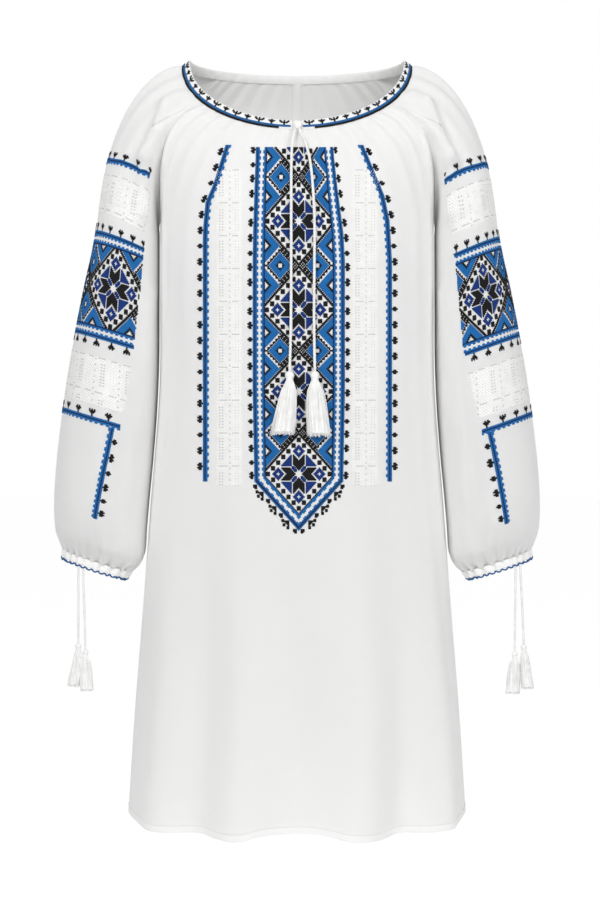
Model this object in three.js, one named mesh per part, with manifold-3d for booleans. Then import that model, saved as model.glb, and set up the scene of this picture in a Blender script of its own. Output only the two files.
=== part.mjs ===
// An embroidered folk tunic, knee length, filled out as it is worn but with nobody in it.
// The cloth is a thin wall: a front and a back, two raglan sleeves gathered into a neck band, two
// gathered cuffs, a strip inside the centre back, and tied cords that end in tassels.
// Millimetres. +X is across the garment, -Y is its front, +Z is up. The origin lies midway between
// the two highest points of the neck, where a wearer's shoulders hold the garment up.
import * as THREE from "three";
import { mergeVertices } from "three/addons/utils/BufferGeometryUtils.js";
import Module from "manifold-3d";

const wasm = await Module();
wasm.setup();

// ---------------------------------------------------------------- driving sizes

const CLOTH = 1.4; // wall of the cloth
const SEAM = 0.3; // gap that stands for a sewn seam
const SEAM_SHIFT = 0.3; // how far each piece keeps from the middle of a raglan seam
const UNDERARM_GAP = 2.2; // the sleeve hangs folded beside the body there, just clear of it
const HEM_Z = -975;
const UNDERARM_Z = -205;
const QUARTER = Math.PI / 2;

// Outline of the body, from the hem up: half width, and depth in front of and behind the side seam.
const BODY = [
  { z: -975, half: 217.5, front: 140, back: 128 },
  { z: -860, half: 211, front: 137, back: 124 },
  { z: -695, half: 198, front: 133, back: 117 },
  { z: -569, half: 188.5, front: 131, back: 111 },
  { z: -420, half: 177, front: 131, back: 107 },
  { z: -300, half: 176, front: 130, back: 111 },
  { z: -205, half: 176, front: 125, back: 114 },
  { z: -150, half: 176, front: 115.5, back: 113 },
  { z: -100, half: 176, front: 101, back: 107 },
  { z: -50, half: 176, front: 90, back: 94 },
  { z: -12, half: 176, front: 80, back: 76 },
];

// Raglan seams from the underarm (share 0) to the neck (share 1), on the +X side.
const FRONT_RAGLAN = [
  { share: 0, x: 176, y: 0, z: -205 },
  { share: 0.22, x: 176, y: -24, z: -172 },
  { share: 0.46, x: 173.5, y: -48, z: -135 },
  { share: 0.68, x: 163, y: -65, z: -101 },
  { share: 0.86, x: 143, y: -68, z: -74 },
  { share: 1, x: 120.2, y: -59.6, z: -60.8 },
];
const BACK_RAGLAN = [
  { share: 0, x: 176, y: 0, z: -205 },
  { share: 0.22, x: 176, y: 26, z: -168 },
  { share: 0.46, x: 171, y: 52, z: -122 },
  { share: 0.68, x: 156, y: 68, z: -78 },
  { share: 0.86, x: 131, y: 67, z: -38 },
  { share: 1, x: 103, y: 54.2, z: -10 },
];

// The neck band: its lower edge is sewn to the gathered cloth and its upper edge is free.
const BAND = {
  lower: { half: 149, front: 100.5, back: 75, sideZ: -3, frontZ: -100, backZ: -12 },
  upper: { half: 139, front: 95.5, back: 73, sideZ: 6.5, frontZ: -87.5, backZ: -1 },
  thick: 2.2,
  slack: 0.25, // a little more than the seam's gap, because both edges are made of chords
  slit: 2.3, // degrees from the middle of the front to each end of the band
  steps: 64,
};

// Sleeve rings from the biceps to the wrist, -X side: outer and inner points, half depth and
// how far forward the ring lies.
const SLEEVE = [
  { outX: -257, outZ: -165, inX: -179.2, inZ: -224, deep: 66, ahead: 0 },
  { outX: -266, outZ: -234, inX: -179.2, inZ: -264, deep: 68, ahead: 1 },
  { outX: -275.5, outZ: -292, inX: -179.2, inZ: -323, deep: 68, ahead: 3 },
  { outX: -287, outZ: -351, inX: -179.4, inZ: -385, deep: 69, ahead: 5 },
  { outX: -297, outZ: -409.5, inX: -181.8, inZ: -446, deep: 70, ahead: 7 },
  { outX: -305, outZ: -468, inX: -186.2, inZ: -506, deep: 71, ahead: 9 },
  { outX: -310.5, outZ: -520, inX: -191, inZ: -558, deep: 71, ahead: 11 },
  { outX: -313, outZ: -565, inX: -194.6, inZ: -600, deep: 69, ahead: 12 },
  { outX: -311.5, outZ: -600, inX: -197, inZ: -632, deep: 60, ahead: 12 },
  { outX: -307.5, outZ: -617, inX: -206, inZ: -647, deep: 48, ahead: 12 },
  { outX: -303.4, outZ: -628, inX: -217.6, inZ: -655.4, deep: 38, ahead: 12 },
];
const CUFF = { height: 11, thick: 2.4, taper: 0.96, columns: 36 };

// How the sleeve leaves its top edge, -X side: at the underarm, up the front raglan, over the
// shoulder and down the back raglan. reach scales the first tangent, land the last one.
const CAP = [
  { around: 0, x: -0.35, y: 0, z: -1, reach: 0.9, land: 1 },
  { around: 0.1, x: -0.8, y: -0.15, z: -0.6, reach: 0.8, land: 1 },
  { around: 0.227, x: -0.97, y: -0.25, z: -0.15, reach: 0.8, land: 1.1 },
  { around: 0.5, x: -1, y: 0, z: -0.11, reach: 0.98, land: 1.2 },
  { around: 0.773, x: -0.96, y: 0.3, z: -0.1, reach: 0.8, land: 1.1 },
  { around: 0.9, x: -0.8, y: 0.15, z: -0.6, reach: 0.8, land: 1 },
  { around: 1, x: -0.35, y: 0, z: -1, reach: 0.9, land: 1 },
];
// Places along a raglan seam where the sleeve has a column; the panels have a row at every other.
const RAGLAN_STOPS = [0, 0.12, 0.24, 0.36, 0.48, 0.6, 0.7, 0.8, 0.88, 0.94, 1];
const RAGLAN_TURN = 0.29; // share of the biceps ring that those columns take

// Gathers: waves across, their depth at the seam and the length over which they die out. The
// wrist's length is a number of sleeve rings.
const GATHERS = {
  front: { waves: 14, depth: 2.3, length: 42 },
  back: { waves: 11, depth: 2.3, length: 42 },
  shoulder: { waves: 6, depth: 2.2, length: 40 },
  wrist: { waves: 11, depth: 3, length: 1.6 },
};

const GATHER_FADE = 1.4; // how sharply gathers die out
const SHOULDER_LENGTH = 200; // cloth between the sleeve's top edge and its first ring

// Soft vertical folds of the skirt: where across (-1 to 1), width, depth at the hem, top height.
const FRONT_FOLDS = [
  { at: -0.6, wide: 0.1, deep: 5, top: -420 },
  { at: -0.41, wide: 0.1, deep: -6, top: -380 },
  { at: -0.21, wide: 0.12, deep: 8, top: -500 },
  { at: 0.02, wide: 0.13, deep: -6, top: -560 },
  { at: 0.25, wide: 0.12, deep: 8, top: -470 },
  { at: 0.52, wide: 0.11, deep: -7, top: -400 },
  { at: 0.72, wide: 0.08, deep: 5, top: -520 },
];
const BACK_FOLDS = [
  { at: -0.66, wide: 0.09, deep: 6, top: -460 },
  { at: -0.44, wide: 0.11, deep: -8, top: -380 },
  { at: -0.16, wide: 0.12, deep: 8, top: -330 },
  { at: 0.12, wide: 0.11, deep: -7, top: -420 },
  { at: 0.4, wide: 0.12, deep: 9, top: -360 },
  { at: 0.66, wide: 0.09, deep: -6, top: -500 },
];

// Deep folds of the sleeve, -X side, seen from the front: both ends, half width and depth.
const SLEEVE_FOLDS = [
  { x1: -166, z1: -58, x2: -193, z2: -128, wide: 11, deep: -7, front: true },
  { x1: -193, z1: -128, x2: -198, z2: -200, wide: 10, deep: -6, front: true },
  { x1: -188, z1: -300, x2: -200, z2: -470, wide: 9, deep: -4, front: true },
  { x1: -160, z1: -45, x2: -195, z2: -125, wide: 12, deep: -7, front: false },
  { x1: -195, z1: -125, x2: -205, z2: -215, wide: 11, deep: -5, front: false },
  { x1: -255, z1: -360, x2: -262, z2: -520, wide: 12, deep: -4, front: false },
];

const SLEEVE_MIDDLE_Y = -14; // the folds lie before or behind this
const FOLD_CLEAR = { from: 6, over: 20 }; // distance from that middle at which a fold begins

// Rows and columns of the walls.
const BODY_HEIGHTS = [-975, -900, -815, -725, -630, -535, -440, -350, -270, -205];
const CAP_SHARES = RAGLAN_STOPS.filter((share, i) => i > 0 && i % 2 === 0);
const FRONT_COLUMNS = 56;
const BACK_COLUMNS = 44;
const SLEEVE_COLUMNS = 44;
const SHOULDER_SHARES = [0, 0.1, 0.24, 0.45, 0.7];
const RAGLAN_SHARE = (RAGLAN_STOPS.length - 1) / SLEEVE_COLUMNS;

const STRIP = { wide: 9.5, thick: 1 }; // the strip inside the centre back
const KNOT = { x: 1, y: -102.7, z: -93.8, wide: 12.5, deep: 6, tall: 14, lean: 21.8 };

// Cords: thickness, and their routes as points chosen one by one.
const NECK_CORD = 3.7;
const CUFF_CORD = 3.1;
const CORD_SIDES = 8;
const ROUTES = {
  neck_cord_left: [
    [-2.2, -105.4, -100.1],
    [-3.2, -106.2, -105],
    [-5.6, -112.6, -118],
    [-6.8, -120.8, -144],
    [-7, -127.4, -180],
    [-7, -131.4, -225],
    [-7, -133.6, -275],
    [-7.2, -134.6, -330],
    [-8, -136, -375],
    [-8.8, -138.8, -404.2],
  ],
  neck_cord_right: [
    [3.4, -105.4, -100.05],
    [5, -106.2, -105],
    [10.6, -112.8, -118],
    [16, -120.2, -140],
    [19.6, -126.6, -172],
    [21.8, -131.2, -220],
    [21.6, -133.6, -270],
    [21.2, -134.6, -330],
    [21.6, -136, -375],
    [22.2, -138.8, -404.2],
  ],
  cuff_cord_left_outer: [
    [-279, -46.2, -648.4],
    [-279.2, -46.4, -665],
    [-279, -46.4, -690],
    [-279, -46.4, -720],
    [-279.2, -46.4, -748.2],
  ],
  cuff_cord_left_inner: [
    [-272.8, -47.8, -650.4],
    [-272.6, -48, -668],
    [-271.6, -48, -695],
    [-270.6, -48, -725],
    [-270, -48, -755.9],
  ],
  cuff_cord_right_inner: [
    [279.2, -46, -648.1],
    [279.2, -46.2, -668],
    [278.8, -46.2, -695],
    [278.4, -46.2, -725],
    [278, -46.2, -758.4],
  ],
  cuff_cord_right_outer: [
    [285.5, -44, -646.3],
    [286, -44.2, -665],
    [287.4, -44.2, -690],
    [288.8, -44.2, -720],
    [289.9, -44.2, -749.5],
  ],
};
const CORD_STEP = 3; // a ring every so many thicknesses
const CUFF_SEAM = 1.5; // from the sleeve's last ring to the middle of the cuff's top edge
const STRIP_SLACK = 0.25; // for the curve of the back across the strip
const TINY = 0.01; // a small step along a curve

// Tassels, one at the foot of each cord: head, skirt and how far the skirt leans and spreads.
const TASSELS = [
  { cord: "neck_cord_left", head: 6, long: 78, lean: -9, wide: 15, strands: 24 },
  { cord: "neck_cord_right", head: 6, long: 80, lean: 5, wide: 15, strands: 24 },
  { cord: "cuff_cord_left_outer", head: 4, long: 58, lean: -6, wide: 8, strands: 14 },
  { cord: "cuff_cord_left_inner", head: 4, long: 56, lean: 2, wide: 9.5, strands: 14 },
  { cord: "cuff_cord_right_inner", head: 4, long: 57, lean: -3, wide: 10, strands: 14 },
  { cord: "cuff_cord_right_outer", head: 4, long: 60, lean: 5, wide: 8, strands: 14 },
];
const TASSEL = { depthShare: 0.36, strand: 0.8, headTall: 2.3, sides: 8 };

// ---------------------------------------------------------------- helpers

const point = (x, y, z) => new THREE.Vector3(x, y, z);
const mix = (a, b, share) => a + (b - a) * share;
const ease = (share) => share * share * (3 - 2 * share);
const clamp01 = (value) => Math.min(1, Math.max(0, value));

// One column of a table at a place along another column, on a smooth curve through its rows.
function read(table, along, name, at) {
  const last = table.length - 1;
  const rises = table[last][along] > table[0][along];
  let row = 0;
  while (row < last - 1 && (rises ? table[row + 1][along] < at : table[row + 1][along] > at)) {
    row += 1;
  }
  const slope = (i) => {
    const before = table[Math.max(0, i - 1)];
    const after = table[Math.min(last, i + 1)];
    return (after[name] - before[name]) / (after[along] - before[along]);
  };
  const [low, high] = [table[row], table[row + 1]];
  const span = high[along] - low[along];
  const t = (at - low[along]) / span;
  const bend = t * t * (3 - 2 * t);
  return (
    low[name] * (1 - bend) +
    high[name] * bend +
    slope(row) * span * t * (1 - t) * (1 - t) -
    slope(row + 1) * span * t * t * (1 - t)
  );
}

// A point on one edge of the neck band: angle 0 is the middle of the front, PI the middle of the back.
function bandEdge(edge, angle) {
  const forward = Math.cos(angle);
  const deep = forward > 0 ? edge.front : edge.back;
  const endZ = forward > 0 ? edge.frontZ : edge.backZ;
  return point(
    edge.half * Math.sin(angle),
    -deep * forward,
    mix(edge.sideZ, endZ, Math.abs(forward)),
  );
}

// Where the band stands at an angle: its lower edge, the way up its face, and the way out of it.
function bandFrame(angle) {
  const foot = bandEdge(BAND.lower, angle);
  const up = bandEdge(BAND.upper, angle).sub(foot).normalize();
  const along = bandEdge(BAND.lower, angle + TINY).sub(bandEdge(BAND.lower, angle - TINY));
  const out = along.cross(up).normalize();
  return { foot, up, out };
}

// Where the gathered cloth meets the band, just below its lower edge.
function underBand(angle) {
  const { foot, up } = bandFrame(angle);
  return foot.addScaledVector(up, -SEAM - BAND.slack);
}

// Normal of a surface given as a function of two shares.
function normalOf(surface, u, v, limits) {
  const [u1, u2] = [Math.max(limits.u[0], u - TINY), Math.min(limits.u[1], u + TINY)];
  const [v1, v2] = [Math.max(limits.v[0], v - TINY), Math.min(limits.v[1], v + TINY)];
  const across = surface(u2, v).sub(surface(u1, v));
  const up = surface(u, v2).sub(surface(u, v1));
  return across.cross(up).normalize();
}

// ---------------------------------------------------------------- walls of cloth

// A closed wall from a grid of middle points: rows[i][j] with a normal and a thickness each.
function wall(rows, around) {
  const high = rows.length;
  const wide = rows[0].length;
  const places = [];
  const faces = [];
  const id = (side, i, j) => side * high * wide + i * wide + (j % wide);
  for (const side of [0.5, -0.5]) {
    for (const row of rows) {
      for (const knot of row) {
        places.push(...knot.at.clone().addScaledVector(knot.out, side * knot.thick).toArray());
      }
    }
  }
  const quad = (a, b, c, d) => faces.push(a, b, c, a, c, d);
  const columns = around ? wide : wide - 1;
  for (let j = 0; j < columns; j += 1) {
    for (let i = 0; i < high - 1; i += 1) {
      quad(id(0, i, j), id(0, i, j + 1), id(0, i + 1, j + 1), id(0, i + 1, j));
      quad(id(1, i, j), id(1, i + 1, j), id(1, i + 1, j + 1), id(1, i, j + 1));
    }
    quad(id(0, 0, j), id(1, 0, j), id(1, 0, j + 1), id(0, 0, j + 1));
    quad(id(0, high - 1, j), id(0, high - 1, j + 1), id(1, high - 1, j + 1), id(1, high - 1, j));
  }
  for (let i = 0; !around && i < high - 1; i += 1) {
    quad(id(0, i, 0), id(0, i + 1, 0), id(1, i + 1, 0), id(1, i, 0));
    quad(id(0, i, wide - 1), id(1, i, wide - 1), id(1, i + 1, wide - 1), id(0, i + 1, wide - 1));
  }
  const geometry = new THREE.BufferGeometry();
  geometry.setAttribute("position", new THREE.Float32BufferAttribute(places, 3));
  geometry.setIndex(faces);
  return facingOut(geometry);
}

// Turns the faces round if the body is inside out.
function facingOut(geometry) {
  const at = geometry.getAttribute("position");
  const order = geometry.getIndex();
  const corner = (i) => new THREE.Vector3().fromBufferAttribute(at, order.getX(i));
  let volume = 0;
  for (let i = 0; i < order.count; i += 3) {
    volume += corner(i).dot(corner(i + 1).cross(corner(i + 2)));
  }
  for (let i = 0; volume < 0 && i < order.count; i += 3) {
    const first = order.getX(i);
    order.setX(i, order.getX(i + 1));
    order.setX(i + 1, first);
  }
  geometry.computeVertexNormals();
  return geometry;
}

// Gives each point of a grid the normal of the grid there, unless it already has one.
function dress(rows, around, thick) {
  const wide = rows[0].length;
  const near = (j) => (around ? (j + wide) % wide : Math.min(wide - 1, Math.max(0, j)));
  rows.forEach((row, i) => {
    row.forEach((knot, j) => {
      knot.thick = knot.thick ?? thick;
      if (knot.out) {
        return;
      }
      const above = rows[Math.min(rows.length - 1, i + 1)][j].at;
      const below = rows[Math.max(0, i - 1)][j].at;
      const across = row[near(j + 1)].at.clone().sub(row[near(j - 1)].at);
      knot.out = across.cross(above.clone().sub(below)).normalize();
    });
  });
  return rows;
}

// ---------------------------------------------------------------- body

const FRONT = {
  sign: -1,
  depth: "front",
  raglan: FRONT_RAGLAN,
  neckZ: -100.4,
  neckTurn: Math.asin(120.2 / BAND.lower.half),
  folds: FRONT_FOLDS,
  gathers: GATHERS.front,
  columns: FRONT_COLUMNS,
};
const BACK = {
  sign: 1,
  depth: "back",
  raglan: BACK_RAGLAN,
  neckZ: -12.4,
  neckTurn: Math.asin(103 / BAND.lower.half),
  folds: BACK_FOLDS,
  gathers: GATHERS.back,
  columns: BACK_COLUMNS,
};

// Middle surface of the front or back without its folds. across runs from -1 to 1 between the seams;
// level is 0 at the hem, 1 at the underarm and 2 at the neck.
function bodySurface(panel, across, level) {
  const share = clamp01(level - 1);
  const height = level <= 1 ? mix(HEM_Z, UNDERARM_Z, level) : mix(UNDERARM_Z, panel.neckZ, share);
  const middle = panel.sign * read(BODY, "z", panel.depth, height);
  const edge =
    level <= 1
      ? point(read(BODY, "z", "half", height), 0, height)
      : point(...["x", "y", "z"].map((name) => read(panel.raglan, "share", name, share)));
  const turn = mix(QUARTER, panel.neckTurn, share);
  const fullness = mix(0.8, 1, share);
  const angle = across * turn;
  const inward = Math.max(0, (Math.cos(angle) - Math.cos(turn)) / (1 - Math.cos(turn)));
  return point(
    (edge.x * Math.sin(angle)) / Math.sin(turn),
    mix(edge.y, middle, inward ** fullness),
    mix(edge.z, height, inward),
  );
}

// A raglan seam on the +X side: a place on it, the way out of the cloth and the way to the sleeve.
function seamFrame(panel, share) {
  const edge = (at) => point(...["x", "y", "z"].map((name) => read(panel.raglan, "share", name, at)));
  const limits = { u: [-1, 1], v: [0, 2] };
  const out = normalOf((u, v) => bodySurface(panel, u, v), 1, 1 + share, limits);
  out.multiplyScalar(Math.sign(out.y * panel.sign) || 1);
  const along = edge(Math.min(1, share + TINY)).sub(edge(Math.max(0, share - TINY)));
  const away = along.cross(out).normalize();
  away.multiplyScalar(Math.sign(away.x) || 1);
  return { at: edge(share), out, away };
}

// Depth of the skirt's folds and the neck's gathers, outwards.
function bodyRelief(panel, across, level, place) {
  const fade = 1 - across ** 10;
  let relief = 0;
  for (const fold of panel.folds) {
    const ramp = ease(clamp01((fold.top - place.z) / (fold.top - HEM_Z)));
    relief += fold.deep * ramp * Math.exp(-(((across - fold.at) / fold.wide) ** 2));
  }
  const { waves, depth, length } = panel.gathers;
  const below = Math.max(0, 2 - level) * (panel.neckZ - UNDERARM_Z);
  const uneven = 0.8 + 0.2 * Math.sin(11 * across);
  const dying = Math.exp(-((below / length) ** GATHER_FADE));
  relief += depth * uneven * dying * Math.cos(Math.PI * waves * (across + 1));
  return relief * fade;
}

// One point of the front or back: its place on the cloth with folds, and its normal where it is set.
function bodyKnot(panel, across, level) {
  const limits = { u: [-1, 1], v: [0, 2] };
  const out = normalOf((u, v) => bodySurface(panel, u, v), across, level, limits);
  out.multiplyScalar(-panel.sign);
  const at = bodySurface(panel, across, level);
  const knot = { at };
  if (level === 2) {
    const angle = across * panel.neckTurn;
    const round = panel.sign < 0 ? angle : Math.PI - angle;
    knot.at = underBand(round);
    knot.out = bandFrame(round).out;
    out.copy(knot.out);
  }
  knot.at.addScaledVector(out, bodyRelief(panel, across, level, at));
  if (Math.abs(across) === 1 && level > 1) {
    const seam = seamFrame(panel, level - 1);
    const mirror = point(across, 1, 1);
    knot.at.addScaledVector(seam.away.multiply(mirror), -SEAM_SHIFT);
    knot.out = knot.out ?? seam.out.multiply(mirror);
  } else {
    knot.at.y += (panel.sign * SEAM * across ** 20) / 2;
  }
  return knot;
}

function bodyRows(panel) {
  const levels = BODY_HEIGHTS.map((z) => (z - HEM_Z) / (UNDERARM_Z - HEM_Z));
  levels.push(...CAP_SHARES.map((share) => 1 + share));
  return levels.map((level) =>
    Array.from({ length: panel.columns + 1 }, (_, j) =>
      bodyKnot(panel, (2 * j) / panel.columns - 1, level),
    ),
  );
}

function bodyPanel(panel) {
  return wall(dress(bodyRows(panel), false, CLOTH), false);
}

// The strip inside the centre back lies on the back's own points, moved inwards.
function backStrip() {
  const reach = (CLOTH + STRIP.thick) / 2 + SEAM + STRIP_SLACK;
  const rows = dress(bodyRows(BACK), false, CLOTH).map((row) => {
    const middle = row[BACK_COLUMNS / 2];
    return [-1, 0, 1].map((side) => {
      const next = row[BACK_COLUMNS / 2 + (side || 1)];
      const share = (Math.abs(side) * STRIP.wide) / 2 / middle.at.distanceTo(next.at);
      const at = middle.at.clone().lerp(next.at, share);
      return { at: at.addScaledVector(middle.out, reach * Math.sign(middle.out.y) * -1) };
    });
  });
  return wall(dress(rows, false, STRIP.thick), false);
}

// ---------------------------------------------------------------- sleeves

// Angle round the neck at which the sleeve's top edge runs, from the front seam to the back seam.
function shoulderAngle(share) {
  return mix(FRONT.neckTurn, Math.PI - BACK.neckTurn, share);
}

// Top edge of the sleeve, -X side: around is 0 at the underarm and grows by the front. Along the
// raglan seams it keeps to the straight stretches between the panels' rows.
function sleeveTop(around) {
  if (around < RAGLAN_SHARE || around > 1 - RAGLAN_SHARE) {
    const front = around < RAGLAN_SHARE;
    const stops = [0, ...CAP_SHARES];
    const place = (front ? around : 1 - around) * SLEEVE_COLUMNS;
    const stop = Math.min(stops.length - 2, Math.floor(place / 2));
    const panel = front ? FRONT : BACK;
    const up = place / (RAGLAN_STOPS.length - 1);
    const [low, high] = [seamFrame(panel, stops[stop]).at, seamFrame(panel, stops[stop + 1]).at];
    const { away } = seamFrame(panel, RAGLAN_STOPS[Math.round(place)]);
    const at = low.lerp(high, place / 2 - stop);
    at.addScaledVector(away, SEAM_SHIFT);
    at.x += UNDERARM_GAP * (1 - ease(clamp01(up / 0.6)));
    return at.multiply(point(-1, 1, 1));
  }
  const share = (around - RAGLAN_SHARE) / (1 - 2 * RAGLAN_SHARE);
  const place = underBand(shoulderAngle(share));
  const corner = Math.abs(2 * share - 1) ** 12;
  return point(-place.x - SEAM * corner, place.y, place.z);
}

// Angle round a sleeve ring: columns are packed over the shoulder and even at the wrist.
function ringAngle(around, drop) {
  const raglan = RAGLAN_SHARE;
  let packed = mix(RAGLAN_TURN, 1 - RAGLAN_TURN, (around - raglan) / (1 - 2 * raglan));
  if (around < raglan) {
    packed = (around / raglan) * RAGLAN_TURN;
  } else if (around > 1 - raglan) {
    packed = 1 - ((1 - around) / raglan) * RAGLAN_TURN;
  }
  return 2 * Math.PI * mix(packed, around, ease(clamp01(drop)));
}

// A point of a sleeve ring; row is a number along the SLEEVE table and need not be whole.
function sleeveRing(around, row) {
  const angle = ringAngle(around, row / (SLEEVE.length - 1));
  const table = SLEEVE.map((ring, i) => ({ ...ring, i }));
  const [outX, outZ, inX, inZ, deep, ahead] = ["outX", "outZ", "inX", "inZ", "deep", "ahead"].map(
    (name) => read(table, "i", name, row),
  );
  const inward = (1 + Math.cos(angle)) / 2;
  const side = Math.sin(angle);
  return point(
    mix(outX, inX, inward),
    -ahead - deep * Math.sign(side) * Math.abs(side) ** 0.92,
    mix(outZ, inZ, inward),
  );
}

// Middle surface of the sleeve: level 0 is the top edge, 1 the biceps ring, then one a ring.
function sleeveSurface(around, level) {
  if (level >= 1) {
    return sleeveRing(around, level - 1);
  }
  const start = sleeveTop(around);
  const end = sleeveRing(around, 0);
  const chord = start.distanceTo(end);
  const [x, y, z, reach, land] = ["x", "y", "z", "reach", "land"].map((name) =>
    read(CAP, "around", name, around),
  );
  const leave = point(x, y, z).normalize().multiplyScalar(chord * reach);
  const next = sleeveRing(around, 0.2).sub(end).normalize().multiplyScalar(chord * land);
  const t = level;
  return start
    .multiplyScalar(1 - ease(t))
    .addScaledVector(end, ease(t))
    .addScaledVector(leave, t * (1 - t) * (1 - t))
    .addScaledVector(next, -t * t * (1 - t));
}

// Distance from a place to a fold's line, seen from the front.
function awayFrom(fold, place) {
  const [dx, dz] = [fold.x2 - fold.x1, fold.z2 - fold.z1];
  const along = ((place.x - fold.x1) * dx + (place.z - fold.z1) * dz) / (dx * dx + dz * dz);
  const t = clamp01(along);
  return Math.hypot(place.x - fold.x1 - t * dx, place.z - fold.z1 - t * dz);
}

// Depth of the sleeve's folds and gathers, outwards.
function sleeveRelief(around, level, place, column) {
  let relief = 0;
  for (const fold of SLEEVE_FOLDS) {
    const off = Math.abs(place.y - SLEEVE_MIDDLE_Y) - FOLD_CLEAR.from;
    const sameSide = fold.front === (place.y < SLEEVE_MIDDLE_Y);
    const fade = clamp01(off / FOLD_CLEAR.over) * clamp01(level / SHOULDER_SHARES[1]);
    relief += sameSide ? fold.deep * fade * Math.exp(-((awayFrom(fold, place) / fold.wide) ** 2)) : 0;
  }
  const { shoulder, wrist } = GATHERS;
  const share = (around - RAGLAN_SHARE) / (1 - 2 * RAGLAN_SHARE);
  if (share > 0 && share < 1 && level < 1) {
    const window = 1 - (2 * share - 1) ** 10;
    const fade = Math.exp(-(((level * SHOULDER_LENGTH) / shoulder.length) ** GATHER_FADE));
    relief += shoulder.depth * window * fade * -Math.cos(2 * Math.PI * shoulder.waves * share);
  }
  const foot = SLEEVE.length - level;
  const fade = Math.exp(-((foot / wrist.length) ** GATHER_FADE));
  relief += wrist.depth * fade * Math.cos((2 * Math.PI * wrist.waves * column) / SLEEVE_COLUMNS);
  return relief;
}

// Over its upper half a raglan seam has one normal for both pieces; lower down the sleeve folds away.
function raglanOut(column, side) {
  const place = Math.min(column, SLEEVE_COLUMNS - column);
  const share = RAGLAN_STOPS[place];
  if (share < 0.45) {
    return undefined;
  }
  const { out } = seamFrame(column === place ? FRONT : BACK, share);
  return out.multiply(point(side, 1, 1)).multiplyScalar(-side);
}

// Rows of the sleeve from its top edge to the wrist; side is -1 or 1.
function sleeveRows(side) {
  const levels = [...SHOULDER_SHARES, ...SLEEVE.map((_, i) => 1 + i)];
  const limits = { u: [0, 1], v: [0, SLEEVE.length] };
  return levels.map((level) =>
    Array.from({ length: SLEEVE_COLUMNS }, (_, j) => {
      const around = j / SLEEVE_COLUMNS;
      const out = normalOf(sleeveSurface, around, level, limits).negate();
      const knot = { at: sleeveSurface(around, level) };
      const share = (around - RAGLAN_SHARE) / (1 - 2 * RAGLAN_SHARE);
      if (level === 0 && share >= 0 && share <= 1) {
        knot.out = bandFrame(shoulderAngle(share)).out;
        knot.out.x *= -1;
        out.copy(knot.out);
        knot.out.x *= -side;
        knot.out.multiplyScalar(-side);
      } else if (level === 0) {
        knot.out = raglanOut(j, side);
      }
      knot.at.addScaledVector(out, sleeveRelief(around, level, knot.at, j));
      knot.at.x *= -side;
      return knot;
    }),
  );
}

function sleeve(side) {
  return wall(dress(sleeveRows(side), true, CLOTH), true);
}

// The cuff goes on from the sleeve's last ring in the same slanting plane.
function cuffRows(side) {
  const last = SLEEVE[SLEEVE.length - 1];
  const slope = Math.atan2(last.outZ - last.inZ, last.inX - last.outX);
  const down = point(-Math.sin(slope), 0, -Math.cos(slope));
  const middle = point((last.outX + last.inX) / 2, -last.ahead, (last.outZ + last.inZ) / 2);
  return [0, 1].map((share) =>
    Array.from({ length: CUFF.columns }, (_, j) => {
      const at = sleeveRing(j / CUFF.columns, SLEEVE.length - 1).sub(middle);
      at.multiplyScalar(mix(1, CUFF.taper, share)).add(middle);
      at.addScaledVector(down, mix(CUFF_SEAM, CUFF.height, share));
      at.x *= -side;
      return { at };
    }),
  );
}

function cuff(side) {
  return wall(dress(cuffRows(side), true, CUFF.thick), true);
}

// ---------------------------------------------------------------- neck band and knot

function neckBand() {
  const slit = (BAND.slit * Math.PI) / 180;
  const rows = [0, 1].map((share) =>
    Array.from({ length: BAND.steps + 1 }, (_, j) => {
      const angle = mix(slit, 2 * Math.PI - slit, j / BAND.steps);
      const place = bandEdge(BAND.lower, angle).lerp(bandEdge(BAND.upper, angle), share);
      return { at: place };
    }),
  );
  return wall(dress(rows, false, BAND.thick), false);
}

function knot() {
  const ball = new THREE.SphereGeometry(0.5, 12, 8);
  ball.scale(KNOT.wide, KNOT.deep, KNOT.tall);
  ball.rotateY(Math.PI / 12);
  ball.rotateX(THREE.MathUtils.degToRad(-KNOT.lean));
  ball.translate(KNOT.x, KNOT.y, KNOT.z);
  return ball;
}

// ---------------------------------------------------------------- cords and tassels

function cord(route, thick) {
  const path = new THREE.CatmullRomCurve3(route.map((place) => point(...place)));
  const section = new THREE.Shape(
    Array.from({ length: CORD_SIDES }, (_, i) => {
      const angle = (2 * Math.PI * i) / CORD_SIDES;
      return new THREE.Vector2((Math.cos(angle) * thick) / 2, (Math.sin(angle) * thick) / 2);
    }),
  );
  const steps = Math.round(path.getLength() / (CORD_STEP * thick));
  return new THREE.ExtrudeGeometry(section, { extrudePath: path, steps });
}

// A three.js geometry as a solid that can be joined.
function solidOf(geometry) {
  const bare = geometry.clone();
  for (const name of Object.keys(bare.attributes)) {
    if (name !== "position") {
      bare.deleteAttribute(name);
    }
  }
  const merged = mergeVertices(bare, 1e-4);
  return new wasm.Manifold(
    new wasm.Mesh({
      numProp: 3,
      vertProperties: new Float32Array(merged.getAttribute("position").array),
      triVerts: new Uint32Array(merged.getIndex().array),
    }),
  );
}

function geometryOf(solid) {
  const mesh = solid.getMesh();
  const geometry = new THREE.BufferGeometry();
  geometry.setAttribute("position", new THREE.BufferAttribute(mesh.vertProperties, 3));
  geometry.setIndex(new THREE.BufferAttribute(mesh.triVerts, 1));
  geometry.computeVertexNormals();
  return geometry;
}

// One strand: a tapered three-sided rod from its root in the head to its tip.
function strand(root, tip, thick) {
  const rod = new THREE.CylinderGeometry(thick, thick * 0.8, root.distanceTo(tip), 3, 1);
  const down = tip.clone().sub(root).normalize();
  rod.applyQuaternion(new THREE.Quaternion().setFromUnitVectors(point(0, -1, 0), down));
  const middle = root.clone().add(tip).multiplyScalar(0.5);
  rod.translate(middle.x, middle.y, middle.z);
  return rod;
}

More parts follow.
